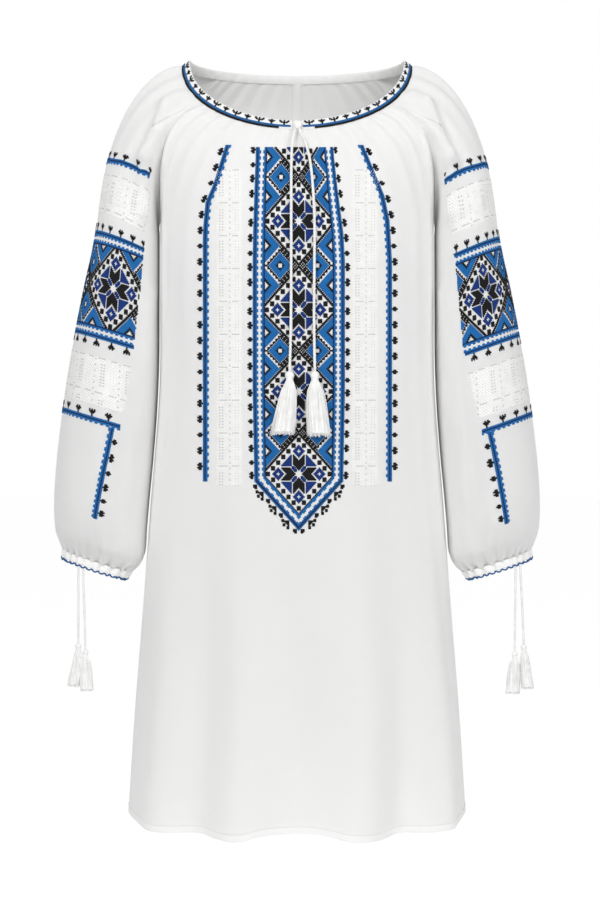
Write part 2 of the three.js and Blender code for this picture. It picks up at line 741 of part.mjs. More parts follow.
// A head wound with thread, with a skirt of strands under it in rings.
function tassel(spec) {
  const end = ROUTES[spec.cord][ROUTES[spec.cord].length - 1];
  const tall = spec.head * TASSEL.headTall;
  const profile = [
    [0, -tall],
    [0.92, -tall],
    [0.8, -tall * 0.74],
    [1, -tall * 0.5],
    [0.86, -tall * 0.16],
    [0.5, 0],
    [0, 0],
  ].map(([share, z]) => new THREE.Vector2(share * spec.head, z));
  const head = new THREE.LatheGeometry(profile, TASSEL.sides);
  head.rotateX(QUARTER);
  head.translate(end[0], end[1], end[2] - SEAM);
  let whole = solidOf(head);
  const rings = [0.95, 0.62, 0.24];
  const total = rings.reduce((sum, ring) => sum + ring, 0);
  rings.forEach((ring, n) => {
    const count = Math.round((spec.strands * ring) / total);
    for (let i = 0; i < count; i += 1) {
      const angle = (2 * Math.PI * (i + 0.5 * n)) / count;
      const [side, deep] = [Math.cos(angle) * ring, Math.sin(angle) * ring];
      const uneven = 1 + 0.03 * Math.sin(7 * i + 3 * n);
      const root = point(
        end[0] + side * spec.head * 0.84,
        end[1] + deep * spec.head * 0.84,
        end[2] - SEAM - tall + 1.5,
      );
      const tip = point(
        end[0] + spec.lean + side * spec.wide,
        end[1] + deep * Math.max(spec.head * 0.9, spec.wide * TASSEL.depthShare),
        end[2] - spec.long * uneven,
      );
      whole = whole.add(solidOf(strand(root, tip, TASSEL.strand)));
    }
  });
  return geometryOf(whole);
}

// ---------------------------------------------------------------- the garment

const linen = new THREE.MeshStandardMaterial({ color: 0xf1f1ef, roughness: 0.92, metalness: 0 });
const facing = new THREE.MeshStandardMaterial({ color: 0xe9e9e7, roughness: 0.92, metalness: 0 });
const band = new THREE.MeshStandardMaterial({ color: 0x2e6db0, roughness: 0.85, metalness: 0 });
const yarn = new THREE.MeshStandardMaterial({ color: 0xfbfbfa, roughness: 0.8, metalness: 0 });

const garment = new THREE.Group();

function sew(name, geometry, material) {
  const mesh = new THREE.Mesh(geometry, material);
  mesh.name = name;
  garment.add(mesh);
}

sew("front", bodyPanel(FRONT), linen);
sew("back", bodyPanel(BACK), linen);
sew("back_strip", backStrip(), facing);
sew("sleeve_left", sleeve(-1), linen);
sew("sleeve_right", sleeve(1), linen);
sew("cuff_left", cuff(-1), linen);
sew("cuff_right", cuff(1), linen);
sew("neck_band", neckBand(), band);
sew("neck_knot", knot(), yarn);
for (const [name, route] of Object.entries(ROUTES)) {
  sew(name, cord(route, name.startsWith("neck") ? NECK_CORD : CUFF_CORD), yarn);
}
for (const spec of TASSELS) {
  sew(spec.cord.replace("cord", "tassel"), tassel(spec), yarn);
}

export default garment;
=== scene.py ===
# %% [markdown]
# # An embroidered folk tunic
#
# The real garment is soft white linen, cut wide and gathered: two body panels, two full raglan
# sleeves, a narrow embroidered neck band, two small cuffs and tied cords with tassels.
# It stands here as if it were worn, with nobody in it. The CAD model gives the places and sizes;
# this lesson gives every piece its cloth, its folds and its thread.
#
# The frame comes first, and its parts stay in the scene.

# %% Load the frame
import math

import bpy
import numpy as np
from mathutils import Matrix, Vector
from mathutils.kdtree import KDTree


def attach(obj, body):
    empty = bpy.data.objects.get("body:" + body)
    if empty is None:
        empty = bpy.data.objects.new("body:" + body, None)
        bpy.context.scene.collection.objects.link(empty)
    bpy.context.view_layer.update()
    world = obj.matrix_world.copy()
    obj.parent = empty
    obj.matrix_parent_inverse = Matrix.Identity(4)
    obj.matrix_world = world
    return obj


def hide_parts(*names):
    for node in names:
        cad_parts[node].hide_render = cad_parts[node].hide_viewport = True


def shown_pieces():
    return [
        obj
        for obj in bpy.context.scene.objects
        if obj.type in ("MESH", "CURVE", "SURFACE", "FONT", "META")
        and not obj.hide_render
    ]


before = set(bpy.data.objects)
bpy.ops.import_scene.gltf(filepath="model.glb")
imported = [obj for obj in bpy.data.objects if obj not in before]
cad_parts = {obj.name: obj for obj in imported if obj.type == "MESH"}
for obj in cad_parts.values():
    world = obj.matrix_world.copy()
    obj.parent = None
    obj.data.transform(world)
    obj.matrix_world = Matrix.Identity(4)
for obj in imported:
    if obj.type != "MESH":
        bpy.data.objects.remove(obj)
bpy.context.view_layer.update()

# %% [markdown]
# ## The camera
#
# A garment is best shown from far off with a long lens, level with its middle, because a near
# camera would swell the sleeves. An 80 mm lens at 2.6 m shows the whole tunic with a narrow margin.

# %% Camera
MM = 0.001  # tables below are in millimetres
EYE = (3.9, -2600.0, -500.5)
LENS = 80.0

camera_data = bpy.data.cameras.new("camera")
camera_data.lens = LENS
camera_data.sensor_width = 36.0
camera_data.clip_end = 60.0
camera = bpy.data.objects.new("camera", camera_data)
camera.location = [n * MM for n in EYE]
camera.rotation_euler = (math.pi / 2, 0, 0)
bpy.context.scene.collection.objects.link(camera)
bpy.context.scene.camera = camera
print("camera", tuple(camera.location), "lens", LENS)

# %% [markdown]
# ## Small helpers
#
# Cloth is easiest to describe by tables: a row for each height, and a smooth curve through the rows.
# `read` follows such a curve for many places at once, `mix` and `ease` blend between values.

# %% Helpers for numbers
DRAWS = np.random.default_rng(11)  # a fixed seed, so each run gives the same strands
SIDES = {-1: "left", 1: "right"}


def mix(a, b, share):
    return a + (b - a) * share


def ease(share):
    share = np.clip(share, 0.0, 1.0)
    return share * share * (3 - 2 * share)


def columns(names, rows):
    """A table as one array for each named column."""
    return dict(zip(names.split(), np.array(rows, float).T))


def read(table, along, name, at):
    """A smooth curve through one column of a table, at places along another column."""
    xs, ys = table[along], table[name]
    if xs[0] > xs[-1]:
        xs, ys = xs[::-1], ys[::-1]
    slope = np.empty(len(xs))
    slope[1:-1] = (ys[2:] - ys[:-2]) / (xs[2:] - xs[:-2])
    slope[0] = (ys[1] - ys[0]) / (xs[1] - xs[0])
    slope[-1] = (ys[-1] - ys[-2]) / (xs[-1] - xs[-2])
    i = np.clip(np.searchsorted(xs, at, side="right") - 1, 0, len(xs) - 2)
    span = xs[i + 1] - xs[i]
    t = (at - xs[i]) / span
    bend = t * t * (3 - 2 * t)
    curve = ys[i] * (1 - bend) + ys[i + 1] * bend
    return curve + slope[i] * span * t * (1 - t) ** 2 - slope[i + 1] * span * t * t * (1 - t)


def unit(vectors):
    return vectors / np.maximum(np.linalg.norm(vectors, axis=-1, keepdims=True), 1e-9)


def point(x, y, z):
    return np.stack(np.broadcast_arrays(x, y, z), axis=-1).astype(float)


def run_along(line):
    """How far along a line each of its points lies."""
    return np.concatenate([[0], np.cumsum(np.linalg.norm(np.diff(line, axis=0), axis=1))])


print("an eased step at a quarter of its way", float(ease(0.25)))

# %% [markdown]
# ## Meshes and how pieces join the frame
#
# Every piece becomes a plain mesh in metres, rides on the one body and may take the place of a CAD
# node. Faces are smooth, with an edge left sharp only where the surface really turns.

# %% Helpers for meshes
SHARP = math.radians(50)


def link(mesh, name):
    thing = bpy.data.objects.new(name, mesh)
    bpy.context.scene.collection.objects.link(thing)
    return thing


def mesh_piece(name, places, faces, uv=None):
    """A mesh from places in millimetres; uv gives the cloth coordinates of each face corner."""
    mesh = bpy.data.meshes.new(name)
    faces = faces if isinstance(faces, list) else faces.tolist()
    mesh.from_pydata((np.asarray(places) * MM).tolist(), [], faces)
    if uv is not None:
        layer = mesh.uv_layers.new(name="cloth")
        layer.data.foreach_set("uv", (np.asarray(uv) * MM).astype(np.float32).ravel())
    mesh.shade_smooth()
    mesh.set_sharp_from_angle(angle=SHARP)
    mesh.update()
    return link(mesh, name)


def place(piece, material, slot, *nodes):
    """Gives a piece its material, its body and the CAD nodes it stands for; slot is not used."""
    piece.data.materials.clear()
    piece.data.materials.append(material)
    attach(piece, "root")
    if nodes:
        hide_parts(*nodes)
    return piece


print("edges that turn more than", round(math.degrees(SHARP)), "degrees stay sharp")

# %% [markdown]
# ## Materials
#
# The cloth is a plain weave: each thread goes over one and under the next. Two crossed waves along
# the cloth's own coordinates give that, and soft noise makes the threads a little uneven. The same
# group serves every piece of cloth. It puts out colour, roughness and height only; the shader stays
# in each material.

# %% Weave group
def new_socket(tree, name, kind, way="INPUT", value=None):
    socket = tree.interface.new_socket(name, in_out=way, socket_type="NodeSocket" + kind)
    if value is not None:
        socket.default_value = value
    return socket


def node(tree, kind, **inputs):
    """A node with its settings; an input may be a value or another node's output."""
    made = tree.nodes.new(kind)
    for name, value in inputs.items():
        if name in ("operation", "data_type"):
            setattr(made, name, value)
            continue
        key = int(name[1:]) if name[0] == "i" and name[1:].isdigit() else name.replace("_", " ")
        target = made.inputs[key]
        if isinstance(value, bpy.types.NodeSocket):
            tree.links.new(value, target)
        else:
            target.default_value = value
    return made


def math_node(tree, operation, a, b=0.0):
    return node(tree, "ShaderNodeMath", operation=operation, i0=a, i1=b).outputs[0]


def look_group(name, inputs):
    """An empty group with its inputs, each a name, a kind and a value, and three outputs."""
    tree = bpy.data.node_groups.new(name, "ShaderNodeTree")
    for socket, kind, value in inputs:
        new_socket(tree, socket, kind, value=value)
    for socket, kind in (("Color", "Color"), ("Roughness", "Float"), ("Height", "Float")):
        new_socket(tree, socket, kind, "OUTPUT")
    return tree, tree.nodes.new("NodeGroupInput").outputs, tree.nodes.new("NodeGroupOutput").inputs


def build_weave_group():
    tree, ins, outs = look_group("plain weave", [
        ("Vector", "Vector", None), ("Threads per metre", "Float", 1700.0),
        ("Base", "Color", (0.9, 0.9, 0.89, 1)), ("Shade", "Color", (0.8, 0.8, 0.79, 1)),
    ])
    axes = node(tree, "ShaderNodeSeparateXYZ", Vector=ins["Vector"]).outputs
    slub = node(tree, "ShaderNodeTexNoise", Vector=ins["Vector"], Scale=260.0, Detail=3.0)
    waves = []
    for axis in (0, 1):
        run = math_node(tree, "MULTIPLY", axes[axis], ins["Threads per metre"])
        run = math_node(tree, "ADD", run, math_node(tree, "MULTIPLY", slub.outputs["Fac"], 1.6))
        waves.append(math_node(tree, "SINE", math_node(tree, "MULTIPLY", run, math.pi)))
    both = math_node(tree, "MULTIPLY", waves[0], waves[1])
    weave = math_node(tree, "MULTIPLY_ADD", both, 0.5)
    weave.node.inputs[2].default_value = 0.5
    cloud = node(tree, "ShaderNodeTexNoise", Vector=ins["Vector"], Scale=9.0, Detail=4.0)
    tint = math_node(tree, "MULTIPLY_ADD", weave, 0.22)
    tree.links.new(math_node(tree, "MULTIPLY", cloud.outputs["Fac"], 0.5), tint.node.inputs[2])
    shade = node(tree, "ShaderNodeMix", data_type="RGBA")
    tree.links.new(tint, shade.inputs[0])
    tree.links.new(ins["Base"], shade.inputs[6])
    tree.links.new(ins["Shade"], shade.inputs[7])
    tree.links.new(shade.outputs[2], outs["Color"])
    rough = math_node(tree, "MULTIPLY_ADD", cloud.outputs["Fac"], 0.12)
    rough.node.inputs[2].default_value = 0.82
    tree.links.new(rough, outs["Roughness"])
    tree.links.new(weave, outs["Height"])
    return tree


WEAVE = build_weave_group()
print("weave group", [item.name for item in WEAVE.interface.items_tree])

# %% [markdown]
# Thread has a different look: many fine fibres wound along it. One more group gives threads, cords
# and tassels a streaky colour and a fine grain along their length.

# %% Yarn group and the materials
def build_yarn_group():
    tree, ins, outs = look_group("spun yarn", [
        ("Base", "Color", (0.9, 0.9, 0.9, 1)), ("Dark", "Color", (0.7, 0.7, 0.7, 1)),
        ("Grain", "Float", 900.0),
    ])
    where = tree.nodes.new("ShaderNodeTexCoord").outputs["Object"]
    fibre = node(tree, "ShaderNodeTexNoise", Vector=where, Scale=ins["Grain"], Detail=2.0)
    patch = node(tree, "ShaderNodeTexNoise", Vector=where, Scale=120.0, Detail=1.0)
    both = math_node(tree, "MULTIPLY", fibre.outputs["Fac"], patch.outputs["Fac"])
    shade = node(tree, "ShaderNodeMix", data_type="RGBA")
    tree.links.new(math_node(tree, "MULTIPLY", both, 1.5), shade.inputs[0])
    tree.links.new(ins["Base"], shade.inputs[6])
    tree.links.new(ins["Dark"], shade.inputs[7])
    tree.links.new(shade.outputs[2], outs["Color"])
    rough = math_node(tree, "MULTIPLY_ADD", fibre.outputs["Fac"], 0.2)
    rough.node.inputs[2].default_value = 0.5
    tree.links.new(rough, outs["Roughness"])
    tree.links.new(fibre.outputs["Fac"], outs["Height"])
    return tree


YARN = build_yarn_group()


def material(name, group, values, bump, distance, sheen=0.0, through=0.0, use_uv=False):
    """A Principled material fed by one of the groups."""
    made = bpy.data.materials.new(name)
    made.use_nodes = True
    tree = made.node_tree
    shader = tree.nodes["Principled BSDF"]
    cell = tree.nodes.new("ShaderNodeGroup")
    cell.node_tree = group
    for key, value in values.items():
        cell.inputs[key].default_value = value
    if use_uv:
        tree.links.new(tree.nodes.new("ShaderNodeUVMap").outputs[0], cell.inputs["Vector"])
    elif "Vector" in cell.inputs:
        tree.links.new(tree.nodes.new("ShaderNodeTexCoord").outputs["Object"], cell.inputs["Vector"])
    relief = node(tree, "ShaderNodeBump", Strength=bump, Distance=distance, Height=cell.outputs["Height"])
    tree.links.new(cell.outputs["Color"], shader.inputs["Base Color"])
    tree.links.new(cell.outputs["Roughness"], shader.inputs["Roughness"])
    tree.links.new(relief.outputs[0], shader.inputs["Normal"])
    shader.inputs["Sheen Weight"].default_value = sheen
    shader.inputs["Specular IOR Level"].default_value = 0.25
    if through:
        shader.inputs["Subsurface Weight"].default_value = through
        shader.inputs["Subsurface Scale"].default_value = 0.004
        shader.inputs["Subsurface Radius"].default_value = (1, 1, 1)
    return made


def linear(red, green, blue):
    """A colour of 0 to 255, as a painter's chart gives it, in the light that Blender adds up."""
    return tuple(
        n / 12.92 if n <= 0.04045 else ((n + 0.055) / 1.055) ** 2.4
        for n in (red / 255, green / 255, blue / 255)
    ) + (1.0,)


def thread(name, colour, dark):
    return material(name, YARN, {"Base": linear(*colour), "Dark": linear(*dark)}, 0.3, 0.0002, 0.03)


LINEN = material(
    "white linen", WEAVE, {"Base": linear(247, 247, 246), "Shade": linear(235, 234, 232)},
    0.25, 0.0002, sheen=0.15, through=0.8, use_uv=True,
)
# The facing is the same linen painted a little lighter, as painted light on the shaded strip inside the
# back.
FACING_PAINTED_LIGHT = material(  # an inner layer has cloth behind it, so no light comes through
    "linen facing", WEAVE, {"Base": linear(250, 250, 249), "Shade": linear(240, 240, 238)},
    0.25, 0.0002, use_uv=True,
)
THREADS = {
    "black": thread("black thread", (12, 12, 16), (5, 5, 8)),
    "navy": thread("navy thread", (8, 36, 86), (4, 20, 54)),
    "royal": thread("royal blue thread", (8, 52, 126), (4, 38, 96)),
    "sky": thread("light blue thread", (24, 110, 176), (12, 86, 150)),
    "edging": thread("blue edging thread", (40, 98, 150), (22, 66, 112)),
}
PAINT = THREADS | {"white": thread("white thread", (250, 250, 249), (232, 232, 230))}
# The holes are not cut: flat grey dots of painted shade stand where a hole's shade would show.
PAINTED_HOLE_SHADE = {"white": thread("shaded hole", (196, 196, 196), (178, 178, 178))}
CORD_YARN = thread("white cord yarn", (244, 244, 243), (206, 206, 204))
TASSEL_YARN = thread("white tassel yarn", (250, 250, 249), (222, 222, 221))
print("materials", [m.name for m in bpy.data.materials])

# %% [markdown]
# ## Cords
#
# The neck is closed by a cord tied at the front, and each cuff by a thinner one. What hangs free are
# two ends each, straight down under their own weight. A spun cord is three plies twisted together,
# so its section is a circle with three shallow lobes that turn along the length.
# A sweep in mesh code gives both the twist and an exact centre line.

# %% Cord routes and the sweep
NECK_CORD = 3.7
CUFF_CORD = 3.1
PLIES = 3
CORD_SIDES = 12
ROUTES = {
    "neck_cord_left": [
        (-2.2, -105.4, -100.1), (-3.2, -106.2, -105), (-5.6, -112.6, -118), (-6.8, -120.8, -144),
        (-7, -127.4, -180), (-7, -131.4, -225), (-7, -133.6, -275), (-7.2, -134.6, -330),
        (-8, -136, -375), (-8.8, -138.8, -404.2),
    ],
    "neck_cord_right": [
        (3.4, -105.4, -100.05), (5, -106.2, -105), (10.6, -112.8, -118), (16, -120.2, -140),
        (19.6, -126.6, -172), (21.8, -131.2, -220), (21.6, -133.6, -270), (21.2, -134.6, -330),
        (21.6, -136, -375), (22.2, -138.8, -404.2),
    ],
    "cuff_cord_left_outer": [
        (-279, -46.2, -648.4), (-279.2, -46.4, -665), (-279, -46.4, -690), (-279, -46.4, -720),
        (-279.2, -46.4, -748.2),
    ],
    "cuff_cord_left_inner": [
        (-272.8, -47.8, -650.4), (-272.6, -48, -668), (-271.6, -48, -695), (-270.6, -48, -725),
        (-270, -48, -755.9),
    ],
    "cuff_cord_right_inner": [
        (279.2, -46, -648.1), (279.2, -46.2, -668), (278.8, -46.2, -695), (278.4, -46.2, -725),
        (278, -46.2, -758.4),
    ],
    "cuff_cord_right_outer": [
        (285.5, -44, -646.3), (286, -44.2, -665), (287.4, -44.2, -690), (288.8, -44.2, -720),
        (289.9, -44.2, -749.5),
    ],
}


def smooth_line(places, step):
    """Points every step millimetres along a smooth curve through the places."""
    places = np.array(places, float)
    run = run_along(places)
    table = dict(zip("sxyz", [run, *places.T]))
    at = np.linspace(0, run[-1], int(round(run[-1] / step)) + 1)
    return np.stack([read(table, "s", axis, at) for axis in "xyz"], axis=-1)


def tube_faces(rings, sides):
    """The quads of a tube of rings, with a cap at each end."""
    i, j = np.meshgrid(np.arange(rings - 1), np.arange(sides), indexing="ij")
    a, b = i * sides + j, i * sides + (j + 1) % sides
    quads = np.stack([a, b, b + sides, a + sides], axis=-1).reshape(-1, 4).tolist()
    return quads + [list(range(sides))[::-1], [(rings - 1) * sides + k for k in range(sides)]]


def sweep(line, radius, sides, lobes=0, lobe_depth=0.0, pitch=1.0):
    """A closed tube round a line; radius is one number or one for each point."""
    run = run_along(line)
    along = unit(np.gradient(line, axis=0))
    side = unit(np.cross(along, [0.0, 1.0, 0.05]))
    up = np.cross(side, along)
    radius = np.broadcast_to(radius, run.shape)
    angle = 2 * np.pi * np.arange(sides) / sides
    twist = 2 * np.pi * run / pitch
    lobe = 1 - lobe_depth * (0.5 - 0.5 * np.cos(lobes * (angle - twist[:, None])))
    reach = radius[:, None] * lobe
    ring = side[:, None] * np.cos(angle)[:, None] + up[:, None] * np.sin(angle)[:, None]
    places = line[:, None] + ring * reach[..., None]
    return places.reshape(-1, 3), tube_faces(len(line), sides)


def facing_out(piece):
    """Turns a closed mesh's faces outwards if its volume is negative."""
    mesh = piece.data
    mesh.calc_loop_triangles()
    corners = np.empty(len(mesh.vertices) * 3)
    mesh.vertices.foreach_get("co", corners)
    corners = corners.reshape(-1, 3)
    order = np.empty(len(mesh.loop_triangles) * 3, int)
    mesh.loop_triangles.foreach_get("vertices", order)
    a, b, c = corners[order.reshape(-1, 3)].transpose(1, 0, 2)
    if (a * np.cross(b, c)).sum() < 0:
        mesh.flip_normals()
    return piece


print(len(ROUTES), "cord routes")

# %% [markdown]
# Each free end is swept along its own route and runs on a little into its tassel's head, so that no
# gap shows between the two. Its centre line is kept, to measure the cord's length by.

# %% The six free ends
CORD_STEP = 1.3  # between two rings of the sweep
LAY = 4.2  # one turn of the plies, in diameters
PLY_DEEP = 0.2
INTO_HEAD = {"neck": 12.0, "cuff": 5.0}  # the cord runs on into the tassel's head
cords = {}
lines = {}
for name, route in ROUTES.items():
    kind = name.split("_")[0]
    thick = NECK_CORD if kind == "neck" else CUFF_CORD
    end = np.array(route[-1])
    down = end + [0, 0, -INTO_HEAD[kind]]
    line = smooth_line([*route, tuple(down)], CORD_STEP)
    places, faces = sweep(line, thick / 2, CORD_SIDES, PLIES, PLY_DEEP, pitch=LAY * thick)
    cord = facing_out(mesh_piece(name + "_yarn", places, faces))
    cords[name] = place(cord, CORD_YARN, "cord_yarn", name)
    lines[name] = line * MM
    print(name, "length", round(float(run_along(line)[-1])), "mm")

# %% [markdown]
# ## Tassels
#
# A tassel is a bundle of yarn folded over the cord's end and bound a little below the fold. So it
# has a round head, a tight neck where the binding is, and a skirt that opens like a bell.
# Strands hang from golden-angle places in the head, which spreads them evenly without rows.

# %% Tassels
TASSELS = columns("head long lean wide strands", [
    (5.7, 78, -9, 15, 150),
    (5.7, 80, 5, 15, 150),
    (3.9, 55, -6, 8, 80),
    (3.9, 53, 2, 9.5, 80),
    (3.9, 54, -3, 10, 80),
    (3.9, 57, 5, 8, 80),
])
HEAD_TALL = 2.3
HEAD_OUTLINE = [  # share of the head's radius, share of its height down from the top
    (0.3, 0.0), (0.62, 0.05), (0.88, 0.18), (0.99, 0.34), (0.97, 0.48), (0.84, 0.6),
    (0.76, 0.66), (0.79, 0.7), (0.75, 0.74), (0.79, 0.78), (0.76, 0.83), (0.84, 0.92), (0.8, 1.0),
]
HEAD_SIDES = 20
GOLDEN = math.pi * (3 - math.sqrt(5))
SKIRT_DEEP = 0.42  # the skirt is flatter from front to back
STRAND = 0.62 * np.array([1, 1.15, 1.15, 1.1, 1.0, 0.6])  # half its thickness from the head down
CORE_SHARE = 0.8
CORE_SIDES = 24
BELL = 0.42  # the skirt opens at once below the binding
UNDER_HEAD = 0.86  # strands start this far down the head


def lathe(outline, sides, ribs=0, rib=0.0):
    """Rings of a turned form, with ribs round it."""
    angle = 2 * np.pi * np.arange(sides) / sides
    rings = []
    for radius, height in outline:
        r = radius * (1 + rib * np.cos(ribs * angle))
        rings.append(point(r * np.cos(angle), r * np.sin(angle), height))
    return np.concatenate(rings), tube_faces(len(outline), sides)


def skirt_core(head, long, lean, wide, tall):
    """The hidden middle of the skirt, so that no gap shows between strands."""
    t = np.linspace(0, 0.94, 7)
    places, faces = lathe([(1.0, 0.0)] * len(t), CORE_SIDES, ribs=12, rib=0.04)
    places = places.reshape(len(t), CORE_SIDES, 3)
    open_up = (t ** BELL)[:, None] * CORE_SHARE
    places[..., 0] = places[..., 0] * mix(head * 0.6, wide, open_up) + (lean * t ** 1.2)[:, None]
    places[..., 1] = places[..., 1] * mix(head * 0.6, max(head, wide * SKIRT_DEEP), open_up)
    places[..., 2] = -mix(tall * UNDER_HEAD, long, t)[:, None]
    return places.reshape(-1, 3), faces


def tassel(name, top, head, long, lean, wide, strands):
    tall = head * HEAD_TALL
    outline = [(share * head, -down * tall) for share, down in HEAD_OUTLINE]
    parts, faces = lathe(outline, HEAD_SIDES, ribs=10, rib=0.02)
    parts = [parts + top]
    count = len(parts[0])
    core, more = skirt_core(head, long, lean, wide, tall)
    parts.append(core + top)
    faces += [[k + count for k in face] for face in more]
    count += len(core)
    for i in range(int(strands)):
        out = math.sqrt((i + 0.5) / strands)
        turn = i * GOLDEN
        side, deep = math.cos(turn) * out, math.sin(turn) * out
        wave = DRAWS.uniform(-0.7, 0.7, 2)
        length = long * (1 + DRAWS.uniform(-0.035, 0.02) - 0.03 * (1 - out))
        t = np.linspace(0, 1, len(STRAND))
        open_up = t ** BELL
        x = side * mix(head * 0.7, wide, open_up) + lean * t ** 1.2 + wave[0] * np.sin(5 * t)
        y = deep * mix(head * 0.7, max(head, wide * SKIRT_DEEP), open_up) + wave[1] * np.sin(4 * t)
        z = -mix(tall * UNDER_HEAD, length, t)
        line = top + point(x, y, z)
        places, more = sweep(line, STRAND, 4)
        parts.append(places)
        faces += [[k + count for k in face] for face in more]
        count += len(places)
    return facing_out(mesh_piece(name, np.concatenate(parts), faces))


for row, (name, route) in enumerate(ROUTES.items()):
    top = np.array(route[-1]) + [0, 0, 0.6]
    sizes = [TASSELS[key][row] for key in ("head", "long", "lean", "wide", "strands")]
    node_name = name.replace("cord", "tassel")
    made = tassel(node_name + "_yarn", top, *sizes)
    place(made, TASSEL_YARN, "tassel_yarn", node_name)
    print(node_name, len(made.data.polygons), "faces")

# %% [markdown]
# A cord's length is measured along its centre line.

# %% The cords' own sizes
for name, piece in cords.items():
    length = float(run_along(lines[name])[-1])
    print(name, "declared at", round(length, 3), "m")

# %% [markdown]
# ## The shape of the body
#
# The front and back are one kind of surface: a place is given by how far across it is, from -1 at
# one seam to 1 at the other, and by its level, 0 at the hem, 1 at the underarm and 2 at the neck.
# The tables hold the half width and the depth at each height, and the two raglan seams.

# %% Sizes of the body
HEM_Z = -975.0
UNDERARM_Z = -205.0
SEAM = 0.3
BODY = columns("z half front back", [
    (-975, 217.5, 140, 128), (-860, 211, 137, 124), (-695, 198, 133, 117),
    (-569, 188.5, 131, 111), (-420, 177, 131, 107), (-300, 176, 130, 111),
    (-205, 176, 125, 114), (-150, 176, 115.5, 113), (-100, 176, 101, 107),
    (-50, 176, 90, 94), (-12, 176, 80, 76),
])
FRONT_RAGLAN = columns("share x y z", [
    (0, 176, 0, -205), (0.22, 176, -24, -172), (0.46, 173.5, -48, -135),
    (0.68, 163, -65, -101), (0.86, 143, -68, -74), (1, 120.2, -59.6, -60.8),
])
BACK_RAGLAN = columns("share x y z", [
    (0, 176, 0, -205), (0.22, 176, 26, -168), (0.46, 171, 52, -122),
    (0.68, 156, 68, -78), (0.86, 131, 67, -38), (1, 103, 54.2, -10),
])
BAND_LOWER = {"half": 149, "front": 100.5, "back": 75, "sideZ": -3, "frontZ": -100, "backZ": -12}
BAND_UPPER = {"half": 139, "front": 95.5, "back": 73, "sideZ": 6.5, "frontZ": -87.5, "backZ": -1}
# The hem isn't level: it rises to the side seams and hangs lower on the folds.
FRONT_HEM = columns("across lift", [
    (-1, 10), (-0.86, 7.5), (-0.715, 1.6), (-0.62, -3.6), (-0.524, -4), (-0.383, -1.6), (-0.293, -6),
    (-0.209, -7.6), (-0.127, -1.2), (0, 0.6), (0.1, -0.6), (0.175, -6.6), (0.237, -8.3),
    (0.318, -7.4), (0.403, -2.8), (0.543, -4.3), (0.681, -3), (0.737, 1.6), (0.886, 8), (1, 10),
])
BACK_HEM = columns("across lift", [
    (-1, 10), (-0.8, 3), (-0.62, -4), (-0.4, 0), (-0.16, -7), (0.12, 0), (0.4, -7), (0.6, -1),
    (0.8, 3), (1, 10),
])
HEM_FADE = 0.13  # share of the way up to the underarm
BAND_TUCK = 1.2  # the cloth runs up inside the band
GATHER_START = 7.0  # gathers rise within this much below the band
FRONT = {
    "sign": -1, "depth": "front", "raglan": FRONT_RAGLAN, "neck_z": -100.4,
    "neck_turn": math.asin(120.2 / 149), "hem": FRONT_HEM,
}
BACK = {
    "sign": 1, "depth": "back", "raglan": BACK_RAGLAN, "neck_z": -12.4,
    "neck_turn": math.asin(103 / 149), "hem": BACK_HEM,
}
print("hem to underarm", UNDERARM_Z - HEM_Z, "mm, wide at the hem", 2 * BODY["half"][0], "mm")

# %% [markdown]
# Gathers and folds are relief on that surface. Gathers start at the seam and die out; no two are
# alike, so each row of the tables has its own place, width, depth and length. Folds of the skirt
# deepen towards the hem.

# %% Folds of the body
FRONT_FOLDS = columns("at wide deep top", [
    (-0.62, 0.1, 7, -400), (-0.4, 0.1, -8, -380), (-0.22, 0.11, 14, -430),
    (-0.02, 0.1, -10, -480), (0.23, 0.11, 14, -400), (0.43, 0.1, -11, -360),
    (0.66, 0.09, 8, -470),
])
BACK_FOLDS = columns("at wide deep top", [
    (-0.66, 0.09, 8, -460), (-0.44, 0.11, -10, -380), (-0.16, 0.12, 12, -330),
    (0.12, 0.11, -9, -420), (0.4, 0.12, 12, -360), (0.66, 0.09, -8, -500),
])
# Fine gathers under the neck band: where across at the neck, where they lead to, width across,
# depth, and length down the cloth in millimetres.
FRONT_GATHERS = columns("at to wide deep long", [
    (-0.97, -0.96, 0.035, 2.6, 120), (-0.9, -0.9, 0.03, -2.2, 90), (-0.83, -0.85, 0.03, 2.4, 150),
    (-0.76, -0.78, 0.028, -2.2, 70), (-0.69, -0.72, 0.03, 2.2, 120), (-0.61, -0.64, 0.028, -2, 60),
    (-0.54, -0.57, 0.028, 2.1, 95), (-0.46, -0.49, 0.026, -2, 48), (-0.39, -0.41, 0.026, 1.8, 70),
    (-0.31, -0.33, 0.026, -1.8, 45), (-0.24, -0.25, 0.024, 1.7, 42), (-0.17, -0.2, 0.022, -1.8, 34),
    (-0.1, -0.13, 0.022, 1.7, 36), (-0.045, -0.06, 0.02, -2.2, 30), (0.0, 0.0, 0.024, -2.4, 24),
    (0.05, 0.07, 0.02, 1.8, 34), (0.11, 0.15, 0.022, -1.9, 38), (0.18, 0.21, 0.024, 1.8, 40),
    (0.26, 0.28, 0.026, -1.9, 50), (0.33, 0.36, 0.026, 1.8, 64), (0.41, 0.44, 0.026, -2, 46),
    (0.48, 0.5, 0.028, 2.1, 90), (0.56, 0.58, 0.028, -2, 62), (0.63, 0.66, 0.03, 2.3, 130),
    (0.71, 0.73, 0.03, -2.2, 72), (0.78, 0.8, 0.03, 2.3, 140), (0.86, 0.87, 0.03, -2.2, 90),
    (0.93, 0.94, 0.032, 2.6, 130),
])
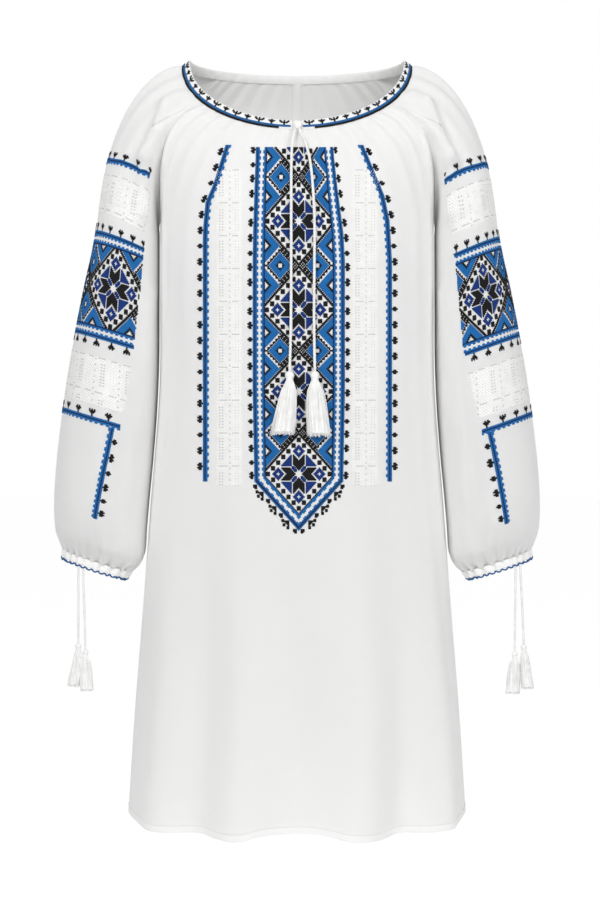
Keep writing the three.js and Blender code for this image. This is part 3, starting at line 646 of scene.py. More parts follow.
BACK_GATHERS = columns("at to wide deep long", [
    (-0.95, -0.95, 0.035, 2.4, 110), (-0.87, -0.88, 0.03, -2.2, 80), (-0.79, -0.81, 0.03, 2.3, 150),
    (-0.7, -0.73, 0.03, -2.1, 70), (-0.61, -0.64, 0.03, 2.2, 120), (-0.52, -0.55, 0.028, -2, 64),
    (-0.43, -0.46, 0.028, 2.1, 96), (-0.34, -0.36, 0.028, -2, 52), (-0.25, -0.27, 0.026, 2, 84),
    (-0.16, -0.18, 0.026, -1.9, 50), (-0.08, -0.09, 0.024, 1.8, 60), (0.01, 0.01, 0.024, -1.8, 44),
    (0.09, 0.1, 0.024, 1.9, 66), (0.18, 0.19, 0.026, -2, 50), (0.27, 0.29, 0.026, 2, 92),
    (0.36, 0.38, 0.028, -2, 58), (0.45, 0.48, 0.028, 2.2, 110), (0.54, 0.57, 0.03, -2.1, 70),
    (0.63, 0.66, 0.03, 2.2, 130), (0.72, 0.75, 0.03, -2.2, 76), (0.81, 0.83, 0.03, 2.3, 140),
    (0.9, 0.91, 0.032, -2.2, 90),
])
BACK_GATHERS["deep"] *= 0.3  # the back is gathered less
FRONT_GATHERS["deep"] *= 1.25
GATHER_FADE = 1.5


def corner_of(raglan, share):
    return point(*(read(raglan, "share", axis, share) for axis in "xyz"))


def body_surface(panel, across, level):
    """The middle of the cloth without its folds."""
    across, level = np.broadcast_arrays(across, level)
    share = np.clip(level - 1, 0, 1)
    low_part = level <= 1
    height = np.where(
        low_part, mix(HEM_Z, UNDERARM_Z, level), mix(UNDERARM_Z, panel["neck_z"], share)
    )
    middle = panel["sign"] * read(BODY, "z", panel["depth"], height)
    raglan = corner_of(panel["raglan"], share)
    half = np.where(low_part, read(BODY, "z", "half", height), raglan[..., 0])
    edge_y = np.where(low_part, 0.0, raglan[..., 1])
    edge_z = np.where(low_part, height, raglan[..., 2])
    turn = mix(math.pi / 2, panel["neck_turn"], share)
    angle = across * turn
    inward = np.clip((np.cos(angle) - np.cos(turn)) / (1 - np.cos(turn)), 0, 1)
    deep = mix(edge_y, middle, inward ** mix(0.8, 1.0, share))
    lift = read(panel["hem"], "across", "lift", across) * ease(1 - level / HEM_FADE)
    return point(half * np.sin(angle) / np.sin(turn), deep, mix(edge_z, height, inward) + lift)


def band_edge(edge, angle):
    forward = np.cos(angle)
    deep = np.where(forward > 0, edge["front"], edge["back"])
    end = np.where(forward > 0, edge["frontZ"], edge["backZ"])
    return point(edge["half"] * np.sin(angle), -deep * forward, mix(edge["sideZ"], end, np.abs(forward)))


def band_frame(angle):
    """The band's lower edge, the way up its face and the way out of it."""
    foot = band_edge(BAND_LOWER, angle)
    up = unit(band_edge(BAND_UPPER, angle) - foot)
    along = band_edge(BAND_LOWER, angle + 0.01) - band_edge(BAND_LOWER, angle - 0.01)
    return foot, up, unit(np.cross(along, up))


def under_band(angle):
    foot, up, _ = band_frame(angle)
    return foot + up * BAND_TUCK


def slopes(surface, u, v, step=0.004, v_range=(0.0, 2.0)):
    """Both ways along a surface, and the way out, by small differences."""
    u1, u2 = u - step, u + step
    v1, v2 = np.maximum(v - step, v_range[0]), np.minimum(v + step, v_range[1])
    du = surface(u2, v) - surface(u1, v)
    dv = surface(u, v2) - surface(u, v1)
    return unit(du), unit(dv), unit(np.cross(du, dv))


def body_relief(panel, folds, gathers, across, level, height):
    relief = np.zeros(np.broadcast(across, level).shape)
    for at, wide, deep, top in zip(*(folds[key] for key in ("at", "wide", "deep", "top"))):
        ramp = ease((top - height) / (top - HEM_Z))
        sway = 0.02 * np.sin((height - top) / 90.0)
        relief = relief + deep * ramp * np.exp(-(((across - at - sway) / wide) ** 2))
    below = np.maximum(0.0, 2 - level) * (panel["neck_z"] - UNDERARM_Z)
    for row in range(len(gathers["at"])):
        at, to, wide, deep, long = (gathers[key][row] for key in ("at", "to", "wide", "deep", "long"))
        centre = at + (to - at) * np.clip(below / long, 0, 2)
        spread = wide * (1 + 0.5 * below / long)
        fade = np.exp(-((below / long) ** GATHER_FADE))
        fade = fade * ease((below - BAND_TUCK) / GATHER_START)
        relief = relief + deep * fade * np.exp(-(((across - centre) / spread) ** 2))
    return relief * (1 - np.abs(across) ** 14)


def body_cloth(panel, folds, gathers):
    """The finished middle surface of a panel, as a function of across and level."""
    def base(across, level):
        across, level = np.broadcast_arrays(across, level)
        places = body_surface(panel, np.clip(across, -1, 1), level)
        turn = np.clip(across, -1, 1) * panel["neck_turn"]
        neck = under_band(turn if panel["sign"] < 0 else np.pi - turn)
        return mix(places, neck, ease((level - 1.9) / 0.1)[..., None])

    def cloth(across, level):
        across, level = np.broadcast_arrays(np.asarray(across, float), np.asarray(level, float))
        inner = np.clip(across, -0.995, 0.995)
        _, _, out = slopes(base, inner, level)
        out = out * -panel["sign"]
        places = base(across, level)
        relief = body_relief(panel, folds, gathers, across, level, places[..., 2])
        places = places + out * relief[..., None]
        edge = np.abs(across) ** 30  # only the very edge gives way to the next piece
        places[..., 1] += panel["sign"] * SEAM * edge * (level <= 1)
        places[..., 0] -= SEAM * np.sign(across) * edge * (level > 1)
        return places

    return cloth


front_cloth = body_cloth(FRONT, FRONT_FOLDS, FRONT_GATHERS)
back_cloth = body_cloth(BACK, BACK_FOLDS, BACK_GATHERS)
print("front middle at chest", front_cloth(0.0, 1.0).round(1), "back", back_cloth(0.0, 1.0).round(1))

# %% [markdown]
# ## The shape of a sleeve
#
# A sleeve is a tube of rings, wide at the biceps and widest above the cuff, where the gathered wrist
# makes it balloon. Each ring slants: its outer point is higher than its inner one. Above the first
# ring the cloth runs in a curve to its top edge, which follows the front raglan seam, the neck band
# and the back raglan seam. `around` is 0 at the underarm and grows by the front to 1.

# %% Sizes of the sleeves
SLEEVE = columns("row outX outZ inX inZ deep ahead", [
    (0, -253, -165, -179.2, -224, 66, 0), (1, -263, -234, -179.2, -264, 68, 1),
    (2, -275.5, -292, -179.2, -323, 68, 3), (3, -287, -351, -179.4, -385, 69, 5),
    (4, -297, -409.5, -181.8, -446, 70, 7), (5, -305, -468, -186.2, -506, 71, 9),
    (6, -310.5, -520, -191, -558, 71, 11), (7, -313, -565, -194.6, -600, 69, 12),
    (8, -311.5, -600, -197, -632, 60, 12), (9, -305.5, -617, -205, -647, 48, 12),
    (10, -299.5, -628, -216.5, -655.4, 38, 12),
])
LAST_ROW = 10.0
CAP = columns("around x y z reach land", [
    (0, -0.35, 0, -1, 0.9, 1), (0.1, -0.8, -0.15, -0.6, 0.8, 1),
    (0.227, -0.97, -0.25, -0.15, 0.8, 1.1), (0.5, -1, 0, -0.11, 0.95, 1.1),
    (0.773, -0.96, 0.3, -0.1, 0.8, 1.1), (0.9, -0.8, 0.15, -0.6, 0.8, 1),
    (1, -0.35, 0, -1, 0.9, 1),
])
RAGLAN_STOPS = [0, 0.12, 0.24, 0.36, 0.48, 0.6, 0.7, 0.8, 0.88, 0.94, 1]
RAGLAN_SHARE = 10 / 44  # of the way round, on each side of the underarm
RAGLAN_TURN = 0.29
UNDERARM_GAP = 2.2
# Creases seen from the front and from behind: both ends, half width and depth.
SLEEVE_FOLDS = columns("x1 z1 x2 z2 wide deep front", [
    (-166, -58, -193, -128, 9, -8, 1), (-193, -128, -198, -200, 9, -7, 1),
    (-176, -62, -206, -140, 7, 4, 1), (-150, -40, -176, -96, 7, -4, 1),
    (-188, -300, -200, -470, 9, -4, 1), (-205, -380, -216, -560, 10, -3, 1),
    (-246, -430, -250, -590, 14, -2.5, 1), (-222, -500, -230, -620, 9, 3, 1),
    (-160, -45, -195, -125, 12, -7, 0), (-195, -125, -205, -215, 11, -5, 0),
    (-255, -360, -262, -520, 12, -4, 0), (-215, -280, -225, -430, 12, 3.5, 0),
    (-240, -120, -250, -220, 10, -3, 0), (-228, -470, -236, -610, 10, -3, 0),
])
# Gathers under the neck band: where along the top edge, width, depth and length.
SHOULDER_GATHERS = columns("at wide deep long", [
    (0.04, 0.035, 2.2, 60), (0.12, 0.035, -2.4, 120), (0.2, 0.035, 2.4, 90), (0.28, 0.03, -2.2, 70),
    (0.36, 0.035, 2.3, 130), (0.44, 0.03, -2.1, 80), (0.52, 0.035, 2.2, 110), (0.6, 0.03, -2.2, 60),
    (0.68, 0.035, 2.4, 120), (0.76, 0.03, -2.2, 80), (0.84, 0.035, 2.3, 100), (0.92, 0.035, -2.2, 60),
])
WRIST_GATHERS = 22
WRIST_DEEP = 2.6
WRIST_LONG = 1.5  # in rows of the table
MIDDLE_Y = -14  # folds in front of this are seen from the front, the others from behind


def seam_corner(panel, share):
    """A place on a raglan seam and the way from it to the sleeve, +X side."""
    at = corner_of(panel["raglan"], share)
    ahead = corner_of(panel["raglan"], np.minimum(1, share + 0.01))
    behind = corner_of(panel["raglan"], np.maximum(0, share - 0.01))
    surface = lambda u, v: body_surface(panel, np.clip(u, -1, 1), v)
    _, _, out = slopes(surface, np.full(np.shape(share), 0.996), 1 + share)
    away = unit(np.cross(ahead - behind, out))
    return at, away * np.where(away[..., :1] < 0, -1, 1)


def sleeve_top(around):
    """The sleeve's top edge, -X side."""
    side = np.minimum(around, 1 - around)
    up = np.clip(side / RAGLAN_SHARE, 0, 1)
    share = np.interp(up * 10, range(11), RAGLAN_STOPS)
    edges = []
    for panel in (FRONT, BACK):
        at, away = seam_corner(panel, share)
        at = at + away * SEAM
        at[..., 0] += UNDERARM_GAP * (1 - ease(up / 0.6))
        edges.append(at)
    seam = np.where((around < 0.5)[..., None], edges[0], edges[1])
    along = np.clip((around - RAGLAN_SHARE) / (1 - 2 * RAGLAN_SHARE), 0, 1)
    angle = mix(FRONT["neck_turn"], np.pi - BACK["neck_turn"], along)
    neck = under_band(angle)
    neck[..., 0] += SEAM * np.abs(2 * along - 1) ** 12
    top = np.where((side < RAGLAN_SHARE)[..., None], seam, neck)
    return top * [-1, 1, 1]


def ring_turn(around, drop):
    """Share of the way round a ring: packed over the shoulder at the top and even at the wrist."""
    r = RAGLAN_SHARE
    packed = np.interp(around, [0, r, 1 - r, 1], [0, RAGLAN_TURN, 1 - RAGLAN_TURN, 1])
    return mix(packed, around, ease(drop))


def sleeve_ring(around, row):
    angle = 2 * np.pi * ring_turn(around, row / LAST_ROW)
    out_x, out_z, in_x, in_z, deep, ahead = (
        read(SLEEVE, "row", name, row) for name in ("outX", "outZ", "inX", "inZ", "deep", "ahead")
    )
    inward = (1 + np.cos(angle)) / 2
    side = np.sin(angle)
    y = -ahead - deep * np.sign(side) * np.abs(side) ** 0.92
    return point(mix(out_x, in_x, inward), y, mix(out_z, in_z, inward))


def sleeve_surface(around, level):
    around, level = np.broadcast_arrays(np.asarray(around, float) % 1.0, np.asarray(level, float))
    lower = sleeve_ring(around, np.maximum(level - 1, 0))
    start, end = sleeve_top(around), sleeve_ring(around, np.zeros_like(around))
    chord = np.linalg.norm(end - start, axis=-1, keepdims=True)
    x, y, z, reach, land = (read(CAP, "around", n, around) for n in ("x", "y", "z", "reach", "land"))
    leave = unit(point(x, y, z)) * chord * reach[..., None]
    onward = unit(sleeve_ring(around, np.full_like(around, 0.2)) - end) * chord * land[..., None]
    t = np.clip(level, 0, 1)[..., None]
    upper = start * (1 - ease(t)) + end * ease(t)
    upper = upper + leave * t * (1 - t) ** 2 - onward * t * t * (1 - t)
    return np.where((level < 1)[..., None], upper, lower)


def wrist_relief(around):
    """Gathers round the wrist, uneven in depth and spacing."""
    uneven = 1 + 0.35 * np.sin(14 * around + 1) + 0.2 * np.sin(37 * around)
    wave = np.cos(2 * np.pi * (WRIST_GATHERS * around + 0.25 * np.sin(6 * np.pi * around)))
    return WRIST_DEEP * uneven * wave


def sleeve_relief(around, level, places):
    relief = np.zeros(around.shape)
    x, y, z = places[..., 0], places[..., 1], places[..., 2]
    for row in range(len(SLEEVE_FOLDS["x1"])):
        x1, z1, x2, z2, wide, deep, front = (SLEEVE_FOLDS[key][row] for key in SLEEVE_FOLDS)
        dx, dz = x2 - x1, z2 - z1
        t = np.clip(((x - x1) * dx + (z - z1) * dz) / (dx * dx + dz * dz), 0, 1)
        off = np.hypot(x - x1 - t * dx, z - z1 - t * dz)
        same = (y < MIDDLE_Y) == bool(front)
        fade = np.clip((np.abs(y - MIDDLE_Y) - 6) / 20, 0, 1) * np.clip(level / 0.12, 0, 1)
        relief = relief + np.where(same, deep * fade * np.exp(-((off / wide) ** 2)), 0)
    along = (around - RAGLAN_SHARE) / (1 - 2 * RAGLAN_SHARE)
    window = np.where((along > 0) & (along < 1), 1 - np.abs(2 * along - 1) ** 10, 0)
    for at, wide, deep, long in zip(*(SHOULDER_GATHERS[key] for key in SHOULDER_GATHERS)):
        down = np.clip(level, 0, 2) * 200
        fade = np.exp(-((down / long) ** GATHER_FADE)) * ease((down - BAND_TUCK) / GATHER_START)
        spread = wide * (1 + 0.4 * down / long)
        relief = relief + deep * window * fade * np.exp(-(((along - at) / spread) ** 2))
    foot = LAST_ROW + 1 - level
    long = WRIST_LONG * (0.8 + 0.35 * np.sin(23 * around + 2))
    return relief + np.exp(-((foot / long) ** GATHER_FADE)) * wrist_relief(around)


def sleeve_cloth(side):
    """The finished middle surface of one sleeve; side is -1 or 1."""
    def cloth(around, level):
        around, level = np.broadcast_arrays(np.asarray(around, float), np.asarray(level, float))
        _, _, inward = slopes(sleeve_surface, around, level, v_range=(0.0, LAST_ROW + 1))
        places = sleeve_surface(around, level)
        places = places - inward * sleeve_relief(around % 1.0, level, places)[..., None]
        return places * [-side, 1, 1]

    return cloth


left_cloth, right_cloth = sleeve_cloth(-1), sleeve_cloth(1)
print("left sleeve, outer point at the biceps", left_cloth(0.5, 1.0).round(1))

# %% [markdown]
# ## Cloth as a thin shell
#
# Real linen has two faces and a cut edge that is turned in. So each panel is a closed thin shell:
# the middle surface moved out and in by half its thickness, joined by rims. The shell carries a
# cloth map, measured along the threads, so that the weave follows the folds.

# %% The shell maker
CLOTH = 0.9


def shell(name, places, thick, around):
    """A closed shell from a grid of middle points; around joins its last column to its first."""
    high, wide = places.shape[:2]
    if around:
        looped = np.concatenate([places[:, -1:], places, places[:, :1]], axis=1)
        du = looped[:, 2:] - looped[:, :-2]
    else:
        du = np.gradient(places, axis=1)
    dv = np.gradient(places, axis=0)
    out = unit(np.cross(du, dv))
    thick = np.broadcast_to(thick, (high, wide))[..., None]
    both = np.concatenate([places + out * thick / 2, places - out * thick / 2]).reshape(-1, 3)
    closing = np.concatenate([places, places[:, :1]], axis=1) if around else places
    across = np.linalg.norm(np.diff(closing, axis=1), axis=-1)
    across = np.concatenate([np.zeros((high, 1)), np.cumsum(across, axis=1)], axis=1)
    across = np.broadcast_to(across.mean(axis=0), across.shape)
    down = np.linalg.norm(np.diff(closing, axis=0), axis=-1)
    down = np.concatenate([np.zeros((1, closing.shape[1])), np.cumsum(down, axis=0)])
    uv = np.stack([across, down], axis=-1)
    count = wide if around else wide - 1
    i, j = np.meshgrid(np.arange(high - 1), np.arange(count), indexing="ij")
    i, j = i.ravel(), j.ravel()
    n = (j + 1) % wide
    size = high * wide
    a, b, c, d = i * wide + j, i * wide + n, (i + 1) * wide + n, (i + 1) * wide + j
    outer = np.stack([a, b, c, d], axis=-1)
    inner = np.stack([a, d, c, b], axis=-1) + size
    uv_outer = np.stack([uv[i, j], uv[i, j + 1], uv[i + 1, j + 1], uv[i + 1, j]], axis=1)
    uv_inner = uv_outer[:, [0, 3, 2, 1]]
    faces, maps = [outer, inner], [uv_outer, uv_inner]

    def rim(at, after, start, end, flip):
        """A row of faces that joins both layers along one edge of the grid."""
        way = slice(None, None, -1 if flip else 1)
        faces.append(np.stack([at, size + at, size + after, after], axis=-1)[:, way])
        maps.append(np.stack([start, start, end, end], axis=1)[:, way])

    k = np.arange(count)
    for row, flip in ((0, False), (high - 1, True)):
        rim(row * wide + k, row * wide + (k + 1) % wide, uv[row, k], uv[row, k + 1], flip)
    k = np.arange(high - 1)
    for column, flip in () if around else ((0, True), (wide - 1, False)):
        rim(k * wide + column, (k + 1) * wide + column, uv[k, column], uv[k + 1, column], flip)
    return facing_out(mesh_piece(name, both, np.concatenate(faces), np.concatenate(maps)))


def net_of(grid, across, down, around=False):
    """A quick way to read a cloth: the place on its own mesh at any across and down."""
    if around:
        grid = np.concatenate([grid, grid[:, :1]], axis=1)
        across = np.append(across, across[0] + 1.0)

    def cloth(u, v):
        u, v = np.broadcast_arrays(np.asarray(u, float), np.asarray(v, float))
        u = u % 1.0 if around else np.clip(u, across[0], across[-1])
        v = np.clip(v, down[0], down[-1])
        i = np.clip(np.searchsorted(across, u, side="right") - 1, 0, len(across) - 2)
        j = np.clip(np.searchsorted(down, v, side="right") - 1, 0, len(down) - 2)
        s = ((u - across[i]) / (across[i + 1] - across[i]))[..., None]
        t = ((v - down[j]) / (down[j + 1] - down[j]))[..., None]
        top = grid[j, i] * (1 - s) + grid[j, i + 1] * s
        low = grid[j + 1, i] * (1 - s) + grid[j + 1, i + 1] * s
        return top * (1 - t) + low * t

    return cloth


def spaced(start, end, count, power=1.0):
    """Numbers from start to end, closer together near the end if power is under 1."""
    return start + (end - start) * np.linspace(0, 1, count) ** power


print("cloth", CLOTH, "mm thick")

# %% [markdown]
# The front has the finer grid, because the embroidery lies on it. Rows stand close together at the
# turned hem, where the shell is thicker, and under the neck band.

# %% The two panels of the body
HEM_TURN = 9.0
HEM_LEVEL = HEM_TURN / (UNDERARM_Z - HEM_Z)
HEM_THICK = 1.8  # layers that the turned hem looks like
FRONT_GRID = (220, 112)
BACK_GRID = (170, 92)
SKIRT_ROWS = 0.52  # share of the rows below the underarm
EDGE_PACK = 1.25  # columns stand closer at the side seams, as on an arc of this angle


def body_panel(name, cloth, grid):
    """Rows lie closer together over the gathers than on the skirt."""
    wide, high = grid
    skirt = int(high * SKIRT_ROWS)
    hem = [0.0, 0.004, HEM_LEVEL, 0.0125]
    levels = np.concatenate([hem, np.linspace(0.02, 1, skirt)[:-1], spaced(1, 2, high - skirt, 0.8)])
    across = np.sin(np.linspace(-1, 1, wide) * EDGE_PACK) / math.sin(EDGE_PACK)
    places = cloth(across[None, :], levels[:, None])
    thick = np.where(levels <= HEM_LEVEL + 1e-6, CLOTH * HEM_THICK, CLOTH)
    return shell(name, places, thick[:, None], False), net_of(places, across, levels)


front, front_net = body_panel("front_linen", front_cloth, FRONT_GRID)
back, back_net = body_panel("back_linen", back_cloth, BACK_GRID)
place(front, LINEN, "linen", "front")
place(back, LINEN, "linen", "back")
print("front", len(front.data.polygons), "faces; back", len(back.data.polygons), "faces")

# %% [markdown]
# A sleeve is one shell that closes on itself. A third of its rows shape the cap, and a quarter of
# them the gathers above the cuff.

# %% The sleeves
SLEEVE_GRID = (160, 94)
CAP_ROWS, WRIST_ROWS = 0.34, 0.26
WRIST_FROM = 8


def sleeve_panel(name, cloth):
    wide, high = SLEEVE_GRID
    cap = int(high * CAP_ROWS)
    wrist = int(high * WRIST_ROWS)
    levels = np.concatenate([
        np.linspace(0, 1, cap)[:-1], np.linspace(1, WRIST_FROM, high - cap - wrist)[:-1],
        np.linspace(WRIST_FROM, LAST_ROW + 1, wrist),
    ])
    around = np.arange(wide) / wide
    places = cloth(around[None, :], levels[:, None])
    return shell(name, places, CLOTH, True), net_of(places, around, levels, True)


left, left_net = sleeve_panel("sleeve_left_linen", left_cloth)
right, right_net = sleeve_panel("sleeve_right_linen", right_cloth)
place(left, LINEN, "linen", "sleeve_left")
place(right, LINEN, "linen", "sleeve_right")
NETS = {-1: left_net, 1: right_net}
print("sleeve", len(left.data.polygons), "faces each")

# %% [markdown]
# ## Band, cuffs and strip
#
# The neck band is a folded strip: two layers with a round fold at the top, open at the front where
# the cord ties it. It is swept round the neck, between the same two edges as in the CAD model.

# %% Neck band
BAND_SLIT = math.radians(2.3)
BAND_SECTION = [  # share of the height, and how far out, for one turn round the folded strip
    (0.0, 0.9), (0.2, 1.05), (0.5, 1.1), (0.78, 1.0), (0.92, 0.72), (1.0, 0.0),
    (0.92, -0.72), (0.78, -0.95), (0.5, -1.0), (0.2, -0.95), (0.0, -0.8),
]
BAND_STEPS = 300
BAND_ROUND = 30.0  # once round the folded section, for the cloth map


def band_place(angle, share, out):
    lower, upper = band_edge(BAND_LOWER, angle), band_edge(BAND_UPPER, angle)
    _, _, away = band_frame(angle)
    return mix(lower, upper, np.asarray(share)[..., None]) + away * np.asarray(out)[..., None]


angle = np.linspace(BAND_SLIT, 2 * np.pi - BAND_SLIT, BAND_STEPS)
ripple = 0.22 * np.sin(61 * angle) + 0.15 * np.sin(37 * angle + 1)
rings = [
    band_place(angle, np.full(BAND_STEPS, up), out + ripple * (1 - up)) for up, out in BAND_SECTION
]
grid = np.stack(rings, axis=1)  # one row for each place round the neck
count, sides = grid.shape[:2]
i, j = np.meshgrid(np.arange(count - 1), np.arange(sides), indexing="ij")
run = run_along(grid[:, 0])
rise = np.append(run_along(grid[0]), BAND_ROUND)
uv = np.stack([
    np.stack([run[i], rise[j]], -1), np.stack([run[i], rise[j + 1]], -1),
    np.stack([run[i + 1], rise[j + 1]], -1), np.stack([run[i + 1], rise[j]], -1),
], axis=2).reshape(-1, 2)
uv = np.concatenate([uv, np.zeros((2 * sides, 2))])  # the two caps need no map
band = mesh_piece("neck_band_linen", grid.reshape(-1, 3), tube_faces(count, sides), uv)
place(facing_out(band), LINEN, "embroidery", "neck_band")
print("neck band", round(float(run[-1])), "mm long")

# %% [markdown]
# A cuff carries on the wrist's gathers in a narrow band, flatter towards its edge. It lies just
# below the sleeve's last ring and is as slanted as that ring.

# %% Cuffs
CUFF_TOP, CUFF_LOW = 1.2, 11.0  # below the sleeve's last ring
CUFF_TAPER, CUFF_FLATTER = 0.98, 0.55  # at the edge: how wide, and how deep the gathers still are
CUFF_PROUD = 0.35
CUFF_THICK = 2.0 * np.array([0.7, 0.9, 1, 1, 1, 0.9, 0.7])  # a round fold at both edges
CUFF_COLUMNS = 220


def cuff_cloth(side):
    """The cuff's middle surface: around as on the sleeve, share 0 at its top and 1 at its edge."""
    last = {name: SLEEVE[name][-1] for name in SLEEVE}
    slope = math.atan2(last["outZ"] - last["inZ"], last["inX"] - last["outX"])
    down = np.array([-math.sin(slope), 0.0, -math.cos(slope)])
    middle = np.array([
        (last["outX"] + last["inX"]) / 2, -last["ahead"], (last["outZ"] + last["inZ"]) / 2,
    ])

    def cloth(around, share):
        around, share = np.broadcast_arrays(np.asarray(around, float), np.asarray(share, float))
        ring = sleeve_ring(around, np.full(around.shape, LAST_ROW))
        out = unit(ring - middle)
        relief = wrist_relief(around) * mix(1.0, CUFF_FLATTER, share) + CUFF_PROUD
        places = (ring - middle) * mix(1.0, CUFF_TAPER, share)[..., None] + middle
        places = places + down * mix(CUFF_TOP, CUFF_LOW, share)[..., None] + out * relief[..., None]
        return places * [-side, 1, 1]

    return cloth


for side, label in SIDES.items():
    around = np.arange(CUFF_COLUMNS) / CUFF_COLUMNS
    share = np.linspace(0, 1, len(CUFF_THICK))
    grid = cuff_cloth(side)(around[None, :], share[:, None])
    cuff = shell(f"cuff_{label}_linen", grid, CUFF_THICK[:, None], True)
    place(cuff, LINEN, "linen", f"cuff_{label}")
    print(cuff.name, len(cuff.data.polygons), "faces")

# %% [markdown]
# Each cuff ends in a blue edging of small scallops, worked with a hook. One thread runs round the
# edge and dips once for each scallop, so a tube along that path is the whole edging.

# %% Scalloped edging
SCALLOPS = 32
SCALLOP_DEEP = 2.6
SCALLOP_STEPS = 8
EDGING_OUT, EDGING_UP = 1.4, 1.15  # half the edging's thickness each way
EDGING_SIDES = 6
for side, label in SIDES.items():
    around = np.arange(SCALLOPS * SCALLOP_STEPS) / (SCALLOPS * SCALLOP_STEPS)
    cloth = cuff_cloth(side)
    edge = cloth(around, np.ones_like(around))
    above = cloth(around, np.full_like(around, 0.8))
    dip = np.abs(np.sin(np.pi * SCALLOPS * around))
    line = edge + unit(edge - above) * (SCALLOP_DEEP * dip)[:, None]
    ahead, behind = np.roll(line, -1, axis=0), np.roll(line, 1, axis=0)
    along = unit(ahead - behind)
    out = unit(edge - edge.mean(axis=0))
    out = unit(out - along * (out * along).sum(-1, keepdims=True))
    up = np.cross(along, out)
    turn = 2 * np.pi * np.arange(EDGING_SIDES) / EDGING_SIDES
    ring = out[:, None] * np.cos(turn)[:, None] * EDGING_OUT
    ring = ring + up[:, None] * np.sin(turn)[:, None] * EDGING_UP
    places = (line[:, None] + ring).reshape(-1, 3)
    i, j = np.meshgrid(np.arange(len(line)), np.arange(EDGING_SIDES), indexing="ij")
    here, after = i * EDGING_SIDES, ((i + 1) % len(line)) * EDGING_SIDES
    n = (j + 1) % EDGING_SIDES
    faces = np.stack([here + j, here + n, after + n, after + j], -1).reshape(-1, 4)
    edging = mesh_piece(f"cuff_{label}_edging", places, faces)
    place(facing_out(edging), THREADS["edging"], "embroidery")
    print(edging.name, SCALLOPS, "scallops")

# %% [markdown]
# Inside the centre back a flat strip covers the seam. It lies on the back's own surface, a little
# further in, and keeps its width where the cloth is gathered.

# %% Strip inside the centre back
STRIP_WIDE, STRIP_THICK, STRIP_IN = 10.5, 0.7, 1.15
NEXT = 0.01  # a small step across, to measure the cloth's scale
levels = np.concatenate([np.linspace(0.001, 1, 70)[:-1], np.linspace(1, 1.995, 34)])
middle = back_cloth(np.zeros_like(levels), levels)
per_step = np.linalg.norm(back_cloth(np.full_like(levels, NEXT), levels) - middle, axis=-1)
across = np.linspace(-0.5, 0.5, 7)[None, :] * STRIP_WIDE / per_step[:, None] * NEXT
grid = back_cloth(across, levels[:, None])
_, _, out = slopes(back_cloth, across, levels[:, None])
out = out * np.where(out[..., 1:2] > 0, -1, 1)
strip = shell("back_strip_linen", grid + out * STRIP_IN, STRIP_THICK, False)
place(strip, FACING_PAINTED_LIGHT, "linen_facing", "back_strip")
print("strip", len(strip.data.polygons), "faces")

# %% [markdown]
# ## The knot
#
# The cord is tied once over the opening. A simple overhand knot is a trefoil: a line that passes
# three times over itself. The same sweep as for the cords makes it, round a soft core that stands
# for the hidden turns.

# %% Knot
KNOT = {
    "at": (1, -102.7, -93.8), "wide": 12.5, "deep": 6.0, "tall": 14.0, "lean": math.radians(-21.8),
}
t = np.linspace(0, 2 * np.pi, 91)
trefoil = point(np.sin(t) + 2 * np.sin(2 * t), -0.9 * np.sin(3 * t), np.cos(t) - 2 * np.cos(2 * t))
reach = np.array([KNOT["wide"] / 2 - 1.6, KNOT["deep"] / 2 - 1.5, KNOT["tall"] / 2 - 1.6])
trefoil = trefoil / [2.75, 0.9, 2.9] * reach
tube, turns = sweep(trefoil, 1.6, 10, PLIES, PLY_DEEP, pitch=14)
core, core_faces = lathe(
    [(math.sin(p) * 0.97, -math.cos(p)) for p in np.linspace(0.12, math.pi - 0.12, 9)], 16
)
core = core * [KNOT["wide"] / 2 - 1.2, KNOT["deep"] / 2 - 0.7, KNOT["tall"] / 2 - 1.4]
both = np.concatenate([tube, core])
lean = np.array([
    [1, 0, 0],
    [0, math.cos(KNOT["lean"]), -math.sin(KNOT["lean"])],
    [0, math.sin(KNOT["lean"]), math.cos(KNOT["lean"])],
])
both = both @ lean.T + KNOT["at"]
turns += [[k + len(tube) for k in face] for face in core_faces]
knot = facing_out(mesh_piece("neck_knot_yarn", both, turns))
place(knot, CORD_YARN, "cord_yarn", "neck_knot")
print("knot", len(knot.data.polygons), "faces")

# %% [markdown]
# ## Where embroidery lies
#
# A chart is flat, the cloth is not. `seen_at` turns a place in the camera's frame, counted in steps
# of 1.3 mm from the upper left, into a place on the cloth. It starts from the nearest point of a
# coarse net and then corrects itself with the surface's own slopes, which is Newton's method.

# %% From the flat view to the cloth
STEP = 1.3  # one step of the flat frame at the garment's middle
FRAME_X, FRAME_Y = 297.0, 65.0  # steps from the frame's upper left to the origin
SMALL = 0.002  # a step across or along a cloth that is small enough to measure its slope


def to_frame(places):
    near = (places[..., 1] - EYE[1]) / -EYE[1]
    x = (places[..., 0] - EYE[0]) / near + EYE[0]
    z = (places[..., 2] - EYE[2]) / near + EYE[2]
    return np.stack([FRAME_X + x / STEP, FRAME_Y - z / STEP], axis=-1)


def seeds_of(cloth, u, v):
    """A coarse net of a cloth's places as they are seen from the front."""
    u, v = (grid.ravel() for grid in np.meshgrid(u, v))
    seen = to_frame(cloth(u, v))
    tree = KDTree(len(u))
    for i, (x, y) in enumerate(seen):
        tree.insert((x, y, 0), i)
    tree.balance()
    return tree, u, v


